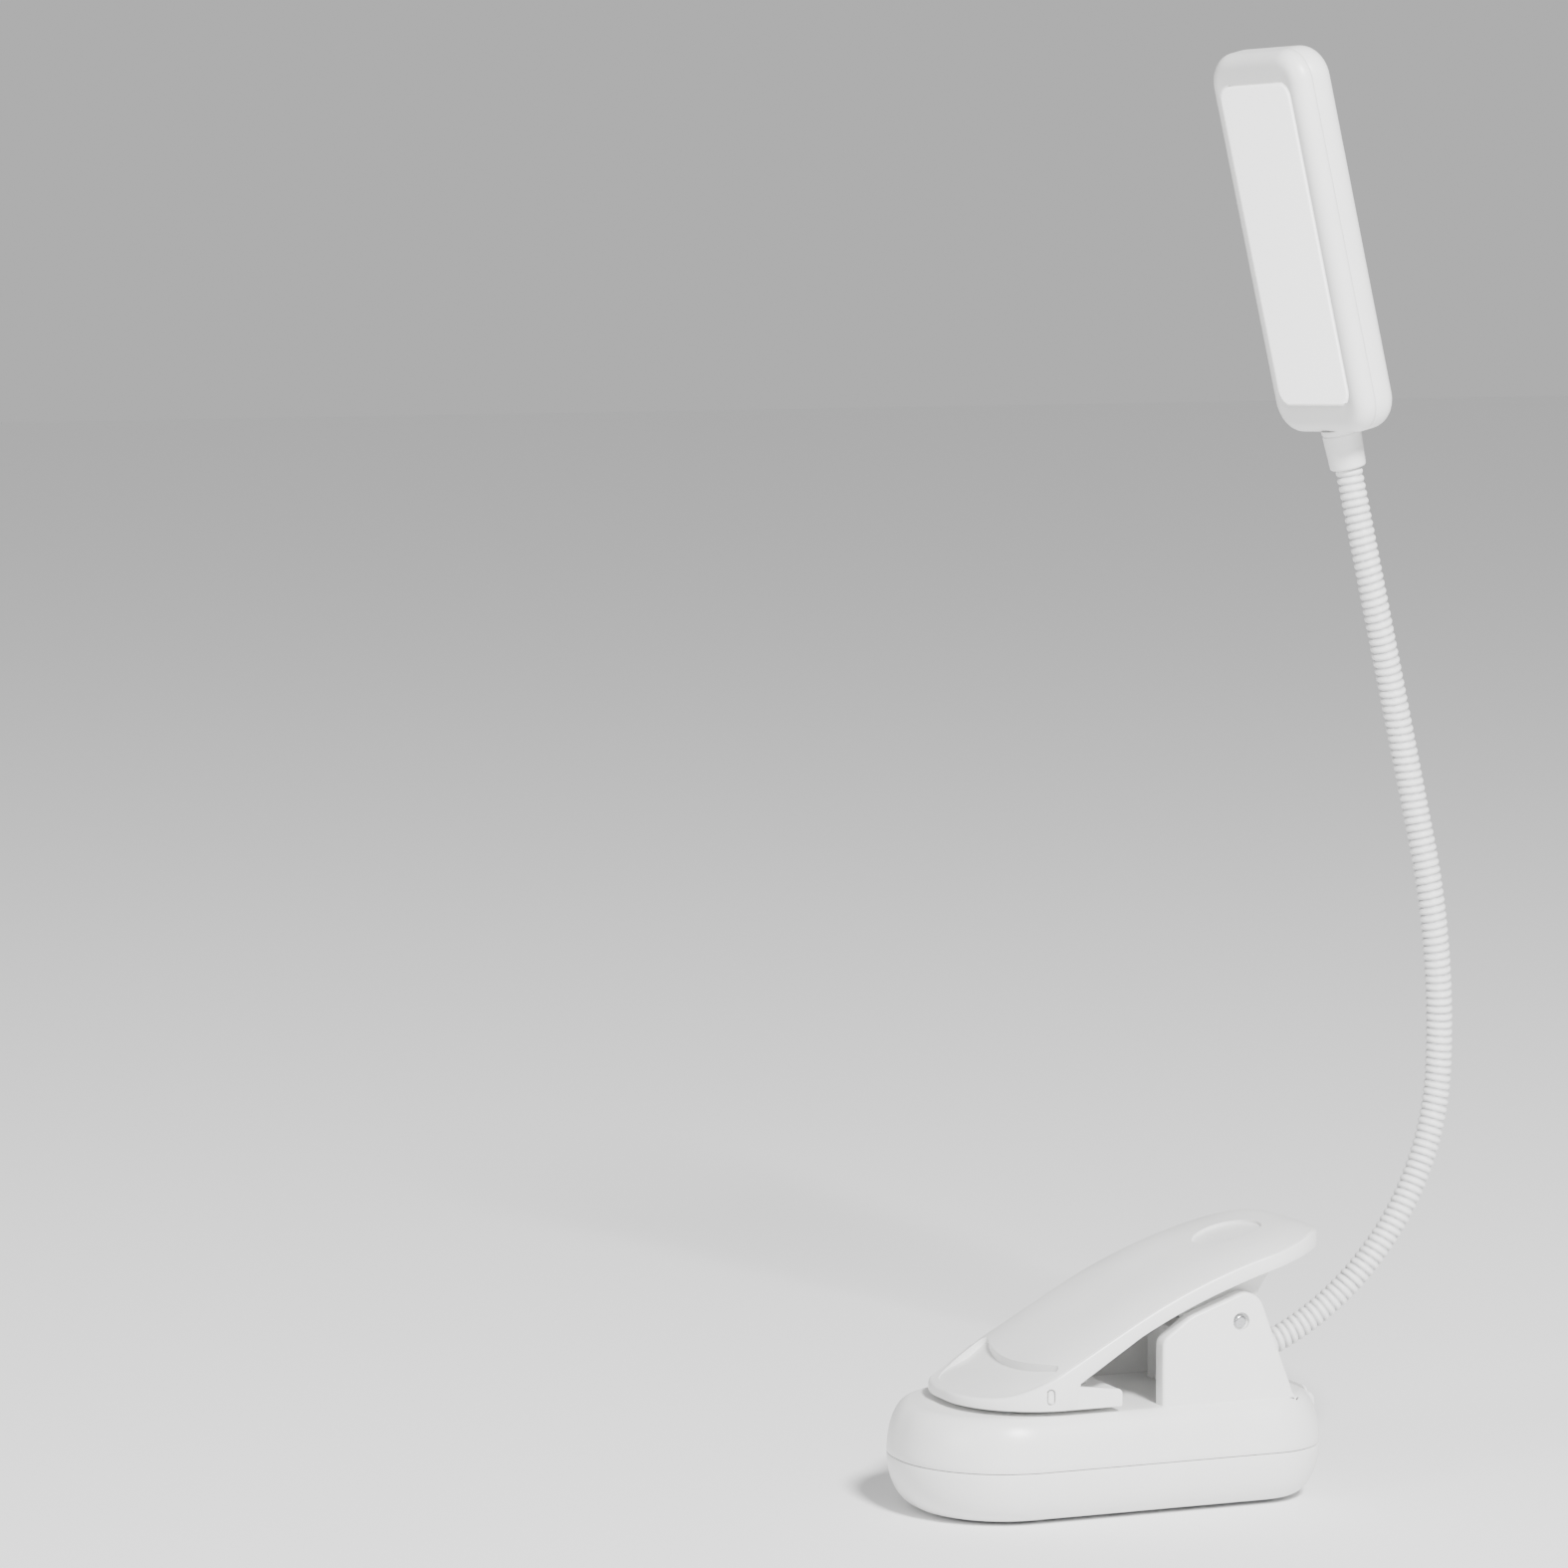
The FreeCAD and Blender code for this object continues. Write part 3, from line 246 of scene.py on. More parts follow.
finishes.update({
    "white_shell": mouldedWhite(), "coated_neck": coatedNeck(), "diffuser": frostedPanel(),
    "soft_rubber": greySilicone(), "steel": brightSteel(), "black_plastic": blackNylon(),
    "battery_foil": pouchFoil(), "lead_insulation": leadJacket(), "circuit_board": greenBoard(),
    "white_board": whiteBoard(), "copper_foil": copperFilm(), "led_phosphor": phosphorGel(),
})
print("finishes made:", len(finishes))


# meshes

def toMesh(name, points, faces, slot, body, replaced=(), smooth=35):
    # points in millimetres, faces as lists of indices; doubles merge and faces turn outwards
    mesh = bpy.data.meshes.new(name)
    mesh.from_pydata((points.reshape(-1, 3) * mm).tolist(), [], faces)
    work = bmesh.new()
    work.from_mesh(mesh)
    bmesh.ops.remove_doubles(work, verts=work.verts, dist=2e-6)
    bmesh.ops.dissolve_degenerate(work, edges=work.edges, dist=1e-7)
    bmesh.ops.recalc_face_normals(work, faces=work.faces)
    work.to_mesh(mesh)
    work.free()
    mesh.materials.append(finishes[slot])
    mesh.shade_smooth()
    mesh.set_sharp_from_angle(angle=math.radians(smooth))
    piece = bpy.data.objects.new(name, mesh)
    bpy.context.scene.collection.objects.link(piece)
    if body:
        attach(piece, body)
    if replaced:
        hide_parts(*replaced)
    return piece


def gridFaces(rows, around, closed=False):
    # four-sided faces between neighbouring rings; closed joins the last ring to the first
    index = np.arange(rows * around).reshape(rows, around)
    low = index if closed else index[:-1]
    high = np.roll(index, -1, axis=0) if closed else index[1:]
    return np.stack([low, np.roll(low, -1, 1), np.roll(high, -1, 1), high], -1).reshape(-1, 4).tolist()


def solidFaces(rows, around):
    # rings with a flat face over the first and the last
    faces = gridFaces(rows, around)
    faces.append(list(range(around))[::-1])
    faces.append(list(range((rows - 1) * around, rows * around)))
    return faces


def ringSolid(name, rings, slot, body, replaced=(), smooth=35):
    return toMesh(name, rings, solidFaces(*rings.shape[:2]), slot, body, replaced, smooth)


def hoopSolid(name, rings, slot, body, replaced=(), smooth=35):
    # rings carried round a closed section, so the last one joins the first
    return toMesh(name, rings, gridFaces(*rings.shape[:2], closed=True), slot, body, replaced, smooth)


def cutAway(piece, rings, smooth=30, way="DIFFERENCE"):
    # takes a closed shape out of a piece, or with UNION adds it, once and for all
    mesh = bpy.data.meshes.new("cutter")
    mesh.from_pydata((rings.reshape(-1, 3) * mm).tolist(), [], solidFaces(*rings.shape[:2]))
    work = bmesh.new()
    work.from_mesh(mesh)
    bmesh.ops.remove_doubles(work, verts=work.verts, dist=2e-6)
    bmesh.ops.recalc_face_normals(work, faces=work.faces)
    work.to_mesh(mesh)
    work.free()
    cutter = bpy.data.objects.new("cutter", mesh)
    bpy.context.scene.collection.objects.link(cutter)
    modifier = piece.modifiers.new("cut", "BOOLEAN")
    modifier.object = cutter
    modifier.operation = way
    modifier.solver = "EXACT"
    graph = bpy.context.evaluated_depsgraph_get()
    final = bpy.data.meshes.new_from_object(piece.evaluated_get(graph))
    piece.modifiers.clear()
    final.name = piece.name
    piece.data = final
    bpy.data.objects.remove(cutter)
    final.shade_smooth()
    final.set_sharp_from_angle(angle=math.radians(smooth))


def stack(*columns):
    return np.stack(np.broadcast_arrays(*columns), -1)


# outlines: points round a closed curve and the outward direction at each

def cornerArc(centre, radius, start, turn, count):
    angle = math.radians(start) + np.linspace(0, math.radians(turn), count)
    way = stack(np.cos(angle), np.sin(angle))
    return np.array(centre) + radius * way, way


def withSides(arcs, steps):
    # joins the arcs by straight sides, cut into as many steps as given for each
    spots, ways = [], []
    for (p, w), (q, _), count in zip(arcs, arcs[1:] + arcs[:1], steps):
        share = np.linspace(0, 1, count + 1)[1:-1, None]
        spots += [p, p[-1] + (q[0] - p[-1]) * share]
        ways += [w, np.repeat(w[-1:], len(share), axis=0)]
    return np.concatenate(spots), np.concatenate(ways)


def roundedPlan(half, low, high, lowRound, highRound, perCorner=24, steps=(2, 2, 2, 2)):
    # a rectangle of width 2*half from low to high; steps are for its right, high, left, low sides
    arcs = [
        cornerArc((half - lowRound, low + lowRound), lowRound, -90, 90, perCorner),
        cornerArc((half - highRound, high - highRound), highRound, 0, 90, perCorner),
        cornerArc((highRound - half, high - highRound), highRound, 90, 90, perCorner),
        cornerArc((lowRound - half, low + lowRound), lowRound, 180, 90, perCorner),
    ]
    return withSides(arcs, steps)


def roundedPolygon(corners, perCorner=9):
    # corners (across, up, radius) anticlockwise; each gets the arc that touches both its sides
    arcs = []
    for before, here, after in zip(corners[-1:] + corners[:-1], corners, corners[1:] + corners[:1]):
        came = np.subtract(here[:2], before[:2])
        goes = np.subtract(after[:2], here[:2])
        came, goes = came / np.linalg.norm(came), goes / np.linalg.norm(goes)
        turn = math.degrees(math.atan2(came[0] * goes[1] - came[1] * goes[0], came @ goes))
        outward = np.array([came[1], -came[0]]) * (1 if turn > 0 else -1)
        reach = here[2] * math.tan(math.radians(abs(turn)) / 2)
        centre = np.array(here[:2]) - came * reach - outward * here[2]
        start = math.degrees(math.atan2(outward[1], outward[0]))
        spots, ways = cornerArc(centre, here[2], start, turn, perCorner)
        arcs.append((spots, ways if turn > 0 else -ways))
    return withSides(arcs, [2] * len(arcs))


def circleOutline(across, up, radius, count=40):
    angle = np.linspace(0, 2 * math.pi, count, endpoint=False)
    way = stack(np.cos(angle), np.sin(angle))
    return np.array([across, up]) + radius * way, way


def softEdge(radius, steps=6):
    # inset and sink of a rounded edge, from the side face to the end face
    angle = np.linspace(0, math.pi / 2, steps)
    return radius * (1 - np.cos(angle)), radius * (1 - np.sin(angle))


axisOrder = {"x": (2, 0, 1), "y": (0, 2, 1), "z": (0, 1, 2)}


def carried(outline, insets, levels, axis="z"):
    # the outline drawn in by each inset, at each level along the axis
    spots, ways = outline
    flat = spots[None] - ways[None] * np.reshape(insets, (-1, 1, 1))
    level = np.broadcast_to(np.reshape(levels, (-1, 1)), flat.shape[:2])
    rings = stack(flat[..., 0], flat[..., 1], level)
    return rings[..., axisOrder[axis]]


def slab(outline, low, high, radius, axis="z"):
    # a plate between two levels with both its edges rounded
    inset, sink = softEdge(radius)
    return carried(outline, np.concatenate([inset[::-1], inset]),
                   np.concatenate([low + sink[::-1], high - sink]), axis)


def tube(path, along, sideways, radius, around=32):
    # circles of the given radius round each point of a path
    angle = np.linspace(0, 2 * math.pi, around, endpoint=False)[None, :, None]
    upward = np.cross(along, sideways)
    reach = np.broadcast_to(radius, len(path))[:, None, None]
    return path[:, None] + reach * (np.cos(angle) * sideways[:, None] + np.sin(angle) * upward[:, None])


def smoothStep(value):
    value = np.clip(value, 0, 1)
    return value * value * (3 - 2 * value)


# base: two moulded half shells

base = {
    "halfWidth": 19, "nose": -36, "tail": 36, "noseRound": 17.9, "tailRound": 12,
    "bottom": 0.4, "parting": 9.1, "top": 17.7, "bottomRound": 5.2, "topRound": 3.7, "wall": 1.6,
    "seamHalf": 0.09, "seamDepth": 0.3, "panelHalf": 8.2, "panelSoft": 0.7,
    "portHeight": 14.05, "portHalf": 4.52, "portHalfHigh": 1.63,
}
basePlan = roundedPlan(base["halfWidth"], base["nose"], base["tail"], base["noseRound"],
                       base["tailRound"], 48, (6, 30, 6, 2))
turnAngle = np.linspace(0, math.pi / 2, 14)


def halfShell(edge, far, edgeRound):
    # outside inset = round*(1 - cos a), height from the seam to far as sin a; the inside is the
    # same curve one wall in. Rings run from the inner floor over the seam's lip to the outside.
    rise = 1 if far > edge else -1
    lip = edge + rise * base["seamHalf"]
    outerInset = edgeRound * (1 - np.cos(turnAngle))
    outerLevel = lip + rise * 0.12 + (far - lip - rise * 0.12) * np.sin(turnAngle)
    innerInset = base["wall"] + edgeRound * (1 - np.cos(turnAngle[::-2]))
    innerLevel = lip + (far - rise * base["wall"] - lip) * np.sin(turnAngle[::-2])
    insets = np.concatenate([innerInset, [base["seamDepth"], 0.06], outerInset])
    levels = np.concatenate([innerLevel, [lip - rise * 0.05, lip], outerLevel])
    return carried(basePlan, insets, levels), insets


lowerRings, _ = halfShell(base["parting"], base["bottom"], base["bottomRound"])
ringSolid("baseLower", lowerRings, "white_shell", "base", ("base_lower_shell",), 40)
upperRings, upperInsets = halfShell(base["parting"], base["top"], base["topRound"])

# the charging port's panel: the tail's inset goes to nothing where |x| is under panelHalf
spots, ways = basePlan
flatness = 1 - smoothStep((np.abs(spots[:, 0]) - base["panelHalf"]) / base["panelSoft"])
flatness = flatness * (ways[:, 1] > 0.9)
outer = np.arange(len(upperInsets)) >= len(upperInsets) - len(turnAngle)
lean = 0.94 * (1 - smoothStep((upperRings[:, :, 2] - 15.4) / 2.2))
giveBack = (upperInsets * outer)[:, None] * flatness[None] * lean
upperRings[..., 1] += giveBack * ways[None, :, 1]
baseUpper = ringSolid("baseUpper", upperRings, "white_shell", "base", ("base_upper_shell",), 40)
portSide = base["portHalf"] - base["portHalfHigh"]
portOutline = withSides([
    cornerArc((portSide, base["portHeight"]), base["portHalfHigh"], -90, 180, 20),
    cornerArc((-portSide, base["portHeight"]), base["portHalfHigh"], 90, 180, 20)], (2, 2))
cutAway(baseUpper, carried(portOutline, [0, 0], [30, 37], "y"), 40)

grip = slab(roundedPlan(13, -30, 30, 11.9, 6, 24), 0.0, 1.0, 0.3)
ringSolid("gripSheet", grip, "soft_rubber", "base", ("grip_sheet",))

# ears: plates that rise from the base and hold the hinge pin
ear = {"inner": 12.3, "outer": 15.5, "edge": 0.55, "pinAlong": 18.6, "pinHeight": 30.8,
       "pinHole": 1.5}
earOutline = roundedPolygon([
    (4.5, 16.9, 0.2), (29.4, 16.9, 0.1), (28.3, 18.3, 1.2), (21.5, 36.45, 3.6),
    (9.6, 32.25, 6), (4.5, 28.6, 2.2)], 12)
for side in (1, -1):
    rings = slab(earOutline, ear["inner"], ear["outer"], ear["edge"], "x")
    rings[..., 0] *= side
    plate = ringSolid("ear" + ("Right" if side > 0 else "Left"), rings, "white_shell", "base")
    hole = circleOutline(ear["pinAlong"], ear["pinHeight"], ear["pinHole"])
    sink = carried(hole, [0, 0], [ear["outer"] - 0.7, ear["outer"] + 0.6], "x")
    sink[..., 0] *= side
    cutAway(plate, sink, 35)
print("base made")


# lever: a thin curved sheet with a rim, pinched to open the jaw

lever = {
    "halfWidth": 17, "nose": -28.4, "tail": 37, "noseRound": 15, "tailRound": 14, "lipBottom": 18.6,
    "browAlong": -20.5, "browHeight": 22.4, "browRise": 0.559, "browCurve": 0.0451,
    "arcFrom": -1, "arcAlong": 49.8, "arcHeight": -58.6, "arcRadius": 105, "arcTo": 31,
    "tailHeight": 44.7, "tailRise": 0.18, "tailCurve": 0.0356, "edgeDrop": 1.4, "crownReach": 15,
    "sheet": 1.8, "rimWall": 1.2, "heel": -11.6, "creaseInset": 0.62, "creaseDepth": 0.38,
}


def crownHeight(y):
    # nose: parabola; back of it: straight slope; middle: arc; tail: parabola turning down
    d = y - lever["browAlong"]
    e = y - lever["arcTo"]
    slope = lever["browHeight"] + lever["browRise"] * d
    arc = lever["arcHeight"] + np.sqrt(lever["arcRadius"] ** 2 - (y - lever["arcAlong"]) ** 2)
    tail = lever["tailHeight"] + lever["tailRise"] * e - lever["tailCurve"] * e * e
    return np.select([d < 0, y < lever["arcFrom"], e < 0],
                     [slope + lever["browCurve"] * d * d, slope, arc], tail)


def leverInset(x, y):
    # distance in from the plan outline, no further than the corner radius
    corner = np.where(y < 5, lever["noseRound"], lever["tailRound"])
    ahead = lever["nose"] + lever["noseRound"] - y
    behind = y - lever["tail"] + lever["tailRound"]
    return corner - np.hypot(np.maximum(np.abs(x) - lever["halfWidth"] + corner, 0),
                             np.maximum(np.maximum(ahead, behind), 0))


def leverTop(x, y):
    # the crown line less edgeDrop*(1 - inset/crownReach)^3 towards the sides
    share = np.clip(leverInset(x, y) / lever["crownReach"], 0, 1)
    sides = (0.25 + 0.75 * smoothStep((y + 26) / 10)) * (1 - 0.6 * smoothStep((y - 24) / 12))
    return crownHeight(y) - lever["edgeDrop"] * sides * (1 - share) ** 3


def rimDepth(y):
    return np.interp(y, [-11.6, 0, 16, 26, 37], [4.97, 4.1, 4.1, 3.9, 3.6])


leverPlan = roundedPlan(lever["halfWidth"], lever["nose"], lever["tail"], lever["noseRound"],
                        lever["tailRound"], 40, (62, 8, 62, 6))
spots, ways = leverPlan
spine = stack(np.zeros(len(spots)), np.clip(spots[:, 1], lever["nose"] + lever["noseRound"],
                                            lever["tail"] - lever["tailRound"]))


def leverRing(inset, level):
    flat = spots - ways * inset
    return stack(flat[:, 0], flat[:, 1], level)


def leverSheet(inset, shares, drop):
    # rings that close from an inset outline to the spine, drop below the top surface
    edge = spots - ways * inset
    flat = spine + (edge - spine) * shares[:, None, None]
    return stack(flat[..., 0], flat[..., 1], leverTop(flat[..., 0], flat[..., 1]) - drop)


rimLow = np.where(spots[:, 1] < lever["heel"], lever["lipBottom"],
                  crownHeight(spots[:, 1]) - rimDepth(spots[:, 1]))
creaseEdge = spots - ways * lever["creaseInset"]
edgeTop = leverTop(creaseEdge[:, 0], creaseEdge[:, 1])
crease = lever["creaseDepth"] * smoothStep((spots[:, 1] + 17) / 5) * smoothStep((36 - spots[:, 1]) / 6)
innerTop = leverTop(*(spots - ways * 2.0).T) - lever["sheet"]
rimRings = [
    leverRing(0.60, edgeTop - crease), leverRing(0.38, edgeTop - crease * 1.05 - 0.02),
    leverRing(0.36, edgeTop - 0.08), leverRing(0.22, edgeTop - 0.12), leverRing(0.08, edgeTop - 0.28),
    leverRing(0.0, edgeTop - 0.55),
    leverRing(0.0, rimLow + 0.30), leverRing(0.09, rimLow + 0.09), leverRing(0.3, rimLow),
    leverRing(lever["rimWall"] - 0.2, rimLow), leverRing(lever["rimWall"], rimLow + 0.2),
    leverRing(lever["rimWall"], np.maximum(innerTop - 0.6, rimLow + 0.25)),
    leverRing(lever["rimWall"] + 0.7, np.maximum(innerTop, rimLow + 0.26)),
]
topShares = 1 - np.linspace(1, 0, 34)
underShares = np.linspace(1, 0, 16)[1:]
leverRings = np.concatenate([
    leverSheet(lever["creaseInset"], topShares, 0), np.stack(rimRings),
    leverSheet(lever["rimWall"] + 0.7, underShares, lever["sheet"])])
rows, around = leverRings.shape[:2]
leverPiece = toMesh("lever", leverRings, gridFaces(rows, around), "white_shell", "lever",
                    ("lever_shell",), 38)

# thumb recess at the nose: a step down, then one hollow and one swell towards the lip
recess = {"back": -14, "middle": -16.6, "centre": -21, "step": 1.0, "swell": 0.6,
          "lipInset": 1.7, "corner": 1.3}
noseCentre = np.array([2, lever["nose"] + lever["noseRound"]])
rightArc = cornerArc(noseCentre, lever["noseRound"] - recess["lipInset"], -90, 82, 34)
cornerSpot = rightArc[0][-1] - recess["corner"] * rightArc[1][-1]
rightCorner = cornerArc(cornerSpot, recess["corner"], -8, 112, 12)
reach = rightCorner[0][-1][0]
sag = rightCorner[0][-1][1] - recess["middle"]
backRadius = (reach ** 2 + sag ** 2) / (2 * sag)
half = math.degrees(math.asin(reach / backRadius))
backArc = cornerArc((0, recess["middle"] + backRadius), backRadius, half - 90, -2 * half, 40)
mirror = np.array([-1, 1])
recessOutline = withSides([
    rightArc, rightCorner, backArc, (rightCorner[0][::-1] * mirror, rightCorner[1][::-1] * mirror),
    (rightArc[0][::-1] * mirror, rightArc[1][::-1] * mirror)], (2, 2, 2, 2, 6))
recessShares = np.linspace(0, 1, 40)[:, None, None]
centre = np.array([0, recess["centre"]])
flat = centre + (recessOutline[0] - centre) * recessShares
recessLength = recess["back"] - lever["nose"] - recess["lipInset"]
along = np.clip((recess["back"] - flat[..., 1]) / recessLength, 0, 1)
hollow = (recess["step"] + recess["swell"] * np.sin(2 * math.pi * along)) * (1 - along) ** 0.6 + 0.04
bottom = stack(flat[..., 0], flat[..., 1], leverTop(flat[..., 0], flat[..., 1]) - hollow)
lid = stack(recessOutline[0][:, 0], recessOutline[0][:, 1], 34.0)
cutAway(leverPiece, np.concatenate([bottom, lid[None]]), 30)

# touch dish: a shallow round recess that follows the crown
dish = {"along": 23.4, "radius": 5.8, "depth": 0.7}
dishOutline = circleOutline(0, dish["along"], dish["radius"], 96)[0]
shares = np.linspace(0, 1, 14)[:, None, None]
flat = np.array([0, dish["along"]]) + (dishOutline - np.array([0, dish["along"]])) * shares
sinkIn = dish["depth"] * (1 - 0.35 * shares[..., 0] ** 4)
bottom = stack(flat[..., 0], flat[..., 1], leverTop(flat[..., 0], flat[..., 1]) - sinkIn)
lid = stack(dishOutline[:, 0], dishOutline[:, 1], 48.0)
cutAway(leverPiece, np.concatenate([bottom, lid[None]]), 30)

# side arms of the jaw, flush with the rim, and a small oblong plug in each side of the nose
arm = {"inner": 15.85, "outer": 16.99, "edge": 0.2}
armOutline = roundedPolygon([(-12.6, 18.62, 0.1), (-3.5, 18.62, 0.3), (-3.5, 21.45, 0.9),
                             (-11.4, 22.4, 0.15), (-12.6, 22.9, 0.1)])
plug = {"along": -16.2, "height": 21.0, "wide": 1.5, "tall": 2.7, "gap": 0.32, "sink": 0.6}
plugAngle = math.asin((plug["along"] - lever["nose"] - lever["noseRound"]) / lever["noseRound"])
plugOut = np.array([math.cos(plugAngle), math.sin(plugAngle), 0])
plugSpot = np.array([2, lever["nose"] + lever["noseRound"], plug["height"]]) + 15 * plugOut
plugSide = np.array([-plugOut[1], plugOut[0], 0])


def oblong(half, tall, depths, side):
    # a capsule across the side face, at each depth along the outward direction
    outline = withSides([cornerArc((0, tall - half), half, 0, 180, 14),
                         cornerArc((0, half - tall), half, 180, 180, 14)], (2, 2))[0]
    flat = plugSpot + outline[:, :1] * plugSide + outline[:, 1:] * np.array([0, 0, 1])
    rings = flat[None] + np.reshape(depths, (-1, 1, 1)) * plugOut
    return rings * [side, 1, 1]


for side, word in ((1, "Right"), (-1, "Left")):
    rings = slab(armOutline, arm["inner"], arm["outer"], arm["edge"], "x")
    rings[..., 0] *= side
    cutAway(leverPiece, rings, 30, "UNION")
    half, tall = plug["wide"] / 2, plug["tall"] / 2
    cutAway(leverPiece, oblong(half, tall, [-plug["sink"], 0.5], side), 30)
    ringSolid("nosePlug" + word, oblong(half - plug["gap"], tall - plug["gap"],
              [-plug["sink"] - 0.1, -0.05], side), "white_shell", "lever")

# cheeks that hang from the sheet and turn on the pin, the cross bar, and the jaw's posts
cheek = {"inner": 9.25, "outer": 11.85, "edge": 0.3}
cheekOutline = roundedPolygon([
    (14.2, 26.6, 4.0), (23.0, 26.6, 4.1), (23.2, 34.6, 7.0), (29.3, 43.2, 0.3), (8, 36.9, 0.3),
    (7.2, 34.6, 0.8)], 12)
for side, word in ((1, "Right"), (-1, "Left")):
    rings = slab(cheekOutline, cheek["inner"], cheek["outer"], cheek["edge"], "x")
    rings[..., 0] *= side
    ringSolid("cheek" + word, rings, "white_shell", "lever")
    post = carried(circleOutline(8 * side, -7.5, 1.6, 32), [0, 0, 0.1], [20.9, 24, 28.4])
    ringSolid("jawPost" + word, post, "white_shell", "lever")
barOutline = roundedPolygon([(24.6, 38.4, 0.4), (27.4, 38.9, 0.4), (27.4, 43.2, 0.1),
                             (24.6, 42.4, 0.1)])
ringSolid("crossBar", slab(barOutline, -9.6, 9.6, 0.1, "x"), "white_shell", "lever")
print("lever made")

# torsion spring on the pin

spring = {"pinAlong": 18.6, "pinHeight": 30.8, "reach": 2.55, "wire": 0.63, "pitch": 1.35,
          "first": 4.85, "turns": 7.4, "legAngle": 41, "legLength": 11.4, "baseLeg": 12.6}


def helix(turn):
    # x falls by pitch each turn; the wire's centre circles the pin at reach
    angle = math.pi - 2 * math.pi * turn
    radial = stack(0 * turn, np.cos(angle), np.sin(angle))
    path = stack(spring["first"] - spring["pitch"] * turn, spring["pinAlong"] + 0 * turn,
                 spring["pinHeight"] + 0 * turn) + spring["reach"] * radial
    along = stack(-spring["pitch"] / (2 * math.pi * spring["reach"]) + 0 * turn,
                  np.sin(angle), -np.cos(angle))
    return path, along / np.linalg.norm(along, axis=1, keepdims=True), radial


turns = np.linspace(0, spring["turns"], int(spring["turns"] * 40))
path, along, radial = helix(turns)
drop = np.linspace(-spring["baseLeg"], -0.4, 20)[:, None]
legPath = path[:1] + drop * np.array([[0, 0, 1.0]]) * 1.0
legAlong = np.repeat([[0, 0, 1.0]], 20, axis=0)
coilPath = np.concatenate([legPath, path])
coilRings = tube(coilPath, np.concatenate([legAlong, along]),
                 np.concatenate([np.repeat(radial[:1], 20, axis=0), radial]), spring["wire"], 14)
ringSolid("springCoil", coilRings, "steel", "base", ("torsion_spring_coil",))
lastAngle = math.radians(spring["legAngle"] + 90)
turns = np.linspace(spring["turns"] + 0.1, 8 + (math.pi - lastAngle) / (2 * math.pi), 40)
path, along, radial = helix(turns)
legWay = np.array([0, math.cos(math.radians(spring["legAngle"])),
                   math.sin(math.radians(spring["legAngle"]))])
legPath = path[-1] + np.linspace(0.4, spring["legLength"], 16)[:, None] * legWay
legRings = tube(np.concatenate([path, legPath]), np.concatenate([along, np.repeat(legWay[None], 16, 0)]),
                np.concatenate([radial, np.repeat(radial[-1:], 16, 0)]), spring["wire"], 14)
ringSolid("springLeg", legRings, "steel", "lever", ("torsion_spring_leg",))


# rubber pads of the jaw: a block with ribs across it

pads = {"half": 11, "front": -22, "back": -5, "pitch": 1.7, "rib": 0.22, "round": 1.6}


def ribbedPad(name, low, high, ribsUp, body, node):
    # level = face -/+ rib*(1 + cos(2 pi y / pitch))/2 over a rounded rectangle closed to its spine
    outline = roundedPlan(pads["half"], pads["front"], pads["back"], pads["round"], pads["round"],
                          8, (70, 2, 70, 2))[0]
    middle = stack(0 * outline[:, 0], outline[:, 1])
    shares = np.concatenate([[1.0], np.linspace(0.985, 0, 8)])[:, None, None]
    flat = middle + (outline - middle) * shares
    wave = pads["rib"] * (1 + np.cos(2 * math.pi * flat[..., 1] / pads["pitch"])) / 2
    face, back = (high, low) if ribsUp else (low, high)
    sink = -1 if ribsUp else 1
    ribs = stack(flat[..., 0], flat[..., 1], face + sink * (wave + 0.15 * (shares[..., 0] > 0.99)))
    plain = stack(flat[..., 0], flat[..., 1], np.full(flat.shape[:2], back))[::-1]
    rings = np.concatenate([plain, ribs])
    toMesh(name, rings, gridFaces(*rings.shape[:2]), "soft_rubber", body, (node,), 50)


for name, ribsUp, body, node in (("basePad", True, "base", "base_jaw_pad"),
                                 ("jawPad", False, "lever", "jaw_pad")):
    low, high = (corner[2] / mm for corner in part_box(node))
    ribbedPad(name, low, high, ribsUp, body, node)
print("spring and pads made")


# gooseneck: a ridged coated hose along two arcs and a straight

neck = {"rootAlong": 25.6, "rootHeight": 21.5, "rootHeading": 15.3, "radius": 2.25,
        "arcs": ((50.6, 72.5), (148.4, 15.1)), "straight": 64, "links": (4, 2, 4),
        "pitch": 1.3, "ridge": 0.36, "ringsPerRidge": 10, "around": 36}
arcRadius = np.array([a[0] for a in neck["arcs"]])
arcLength = arcRadius * np.radians([a[1] for a in neck["arcs"]])
runs = np.array([arcLength[0], arcLength[1], neck["straight"]])
pivotAt = np.concatenate([[0.0], *(sum(runs[:i]) + runs[i] / n * np.arange(1, n + 1)
                                   for i, n in enumerate(neck["links"]))])
neckEnd = float(sum(runs))


def neckPath(length):
    # heading grows by length/radius over each arc; place is the integral of its direction
    h0 = math.radians(neck["rootHeading"])
    h1 = h0 + np.clip(length, 0, runs[0]) / arcRadius[0]
    h2 = h1 + np.clip(length - runs[0], 0, runs[1]) / arcRadius[1]
    before = np.minimum(length, 0)
    after = np.maximum(length - runs[0] - runs[1], 0)
    y = (neck["rootAlong"] + before * math.cos(h0) + arcRadius[0] * (np.sin(h1) - math.sin(h0))
         + arcRadius[1] * (np.sin(h2) - np.sin(h1)) + after * np.cos(h2))
    z = (neck["rootHeight"] + before * math.sin(h0) - arcRadius[0] * (np.cos(h1) - math.cos(h0))
         - arcRadius[1] * (np.cos(h2) - np.cos(h1)) + after * np.sin(h2))
    return stack(0 * y, y, z), stack(0 * y, np.cos(h2), np.sin(h2))


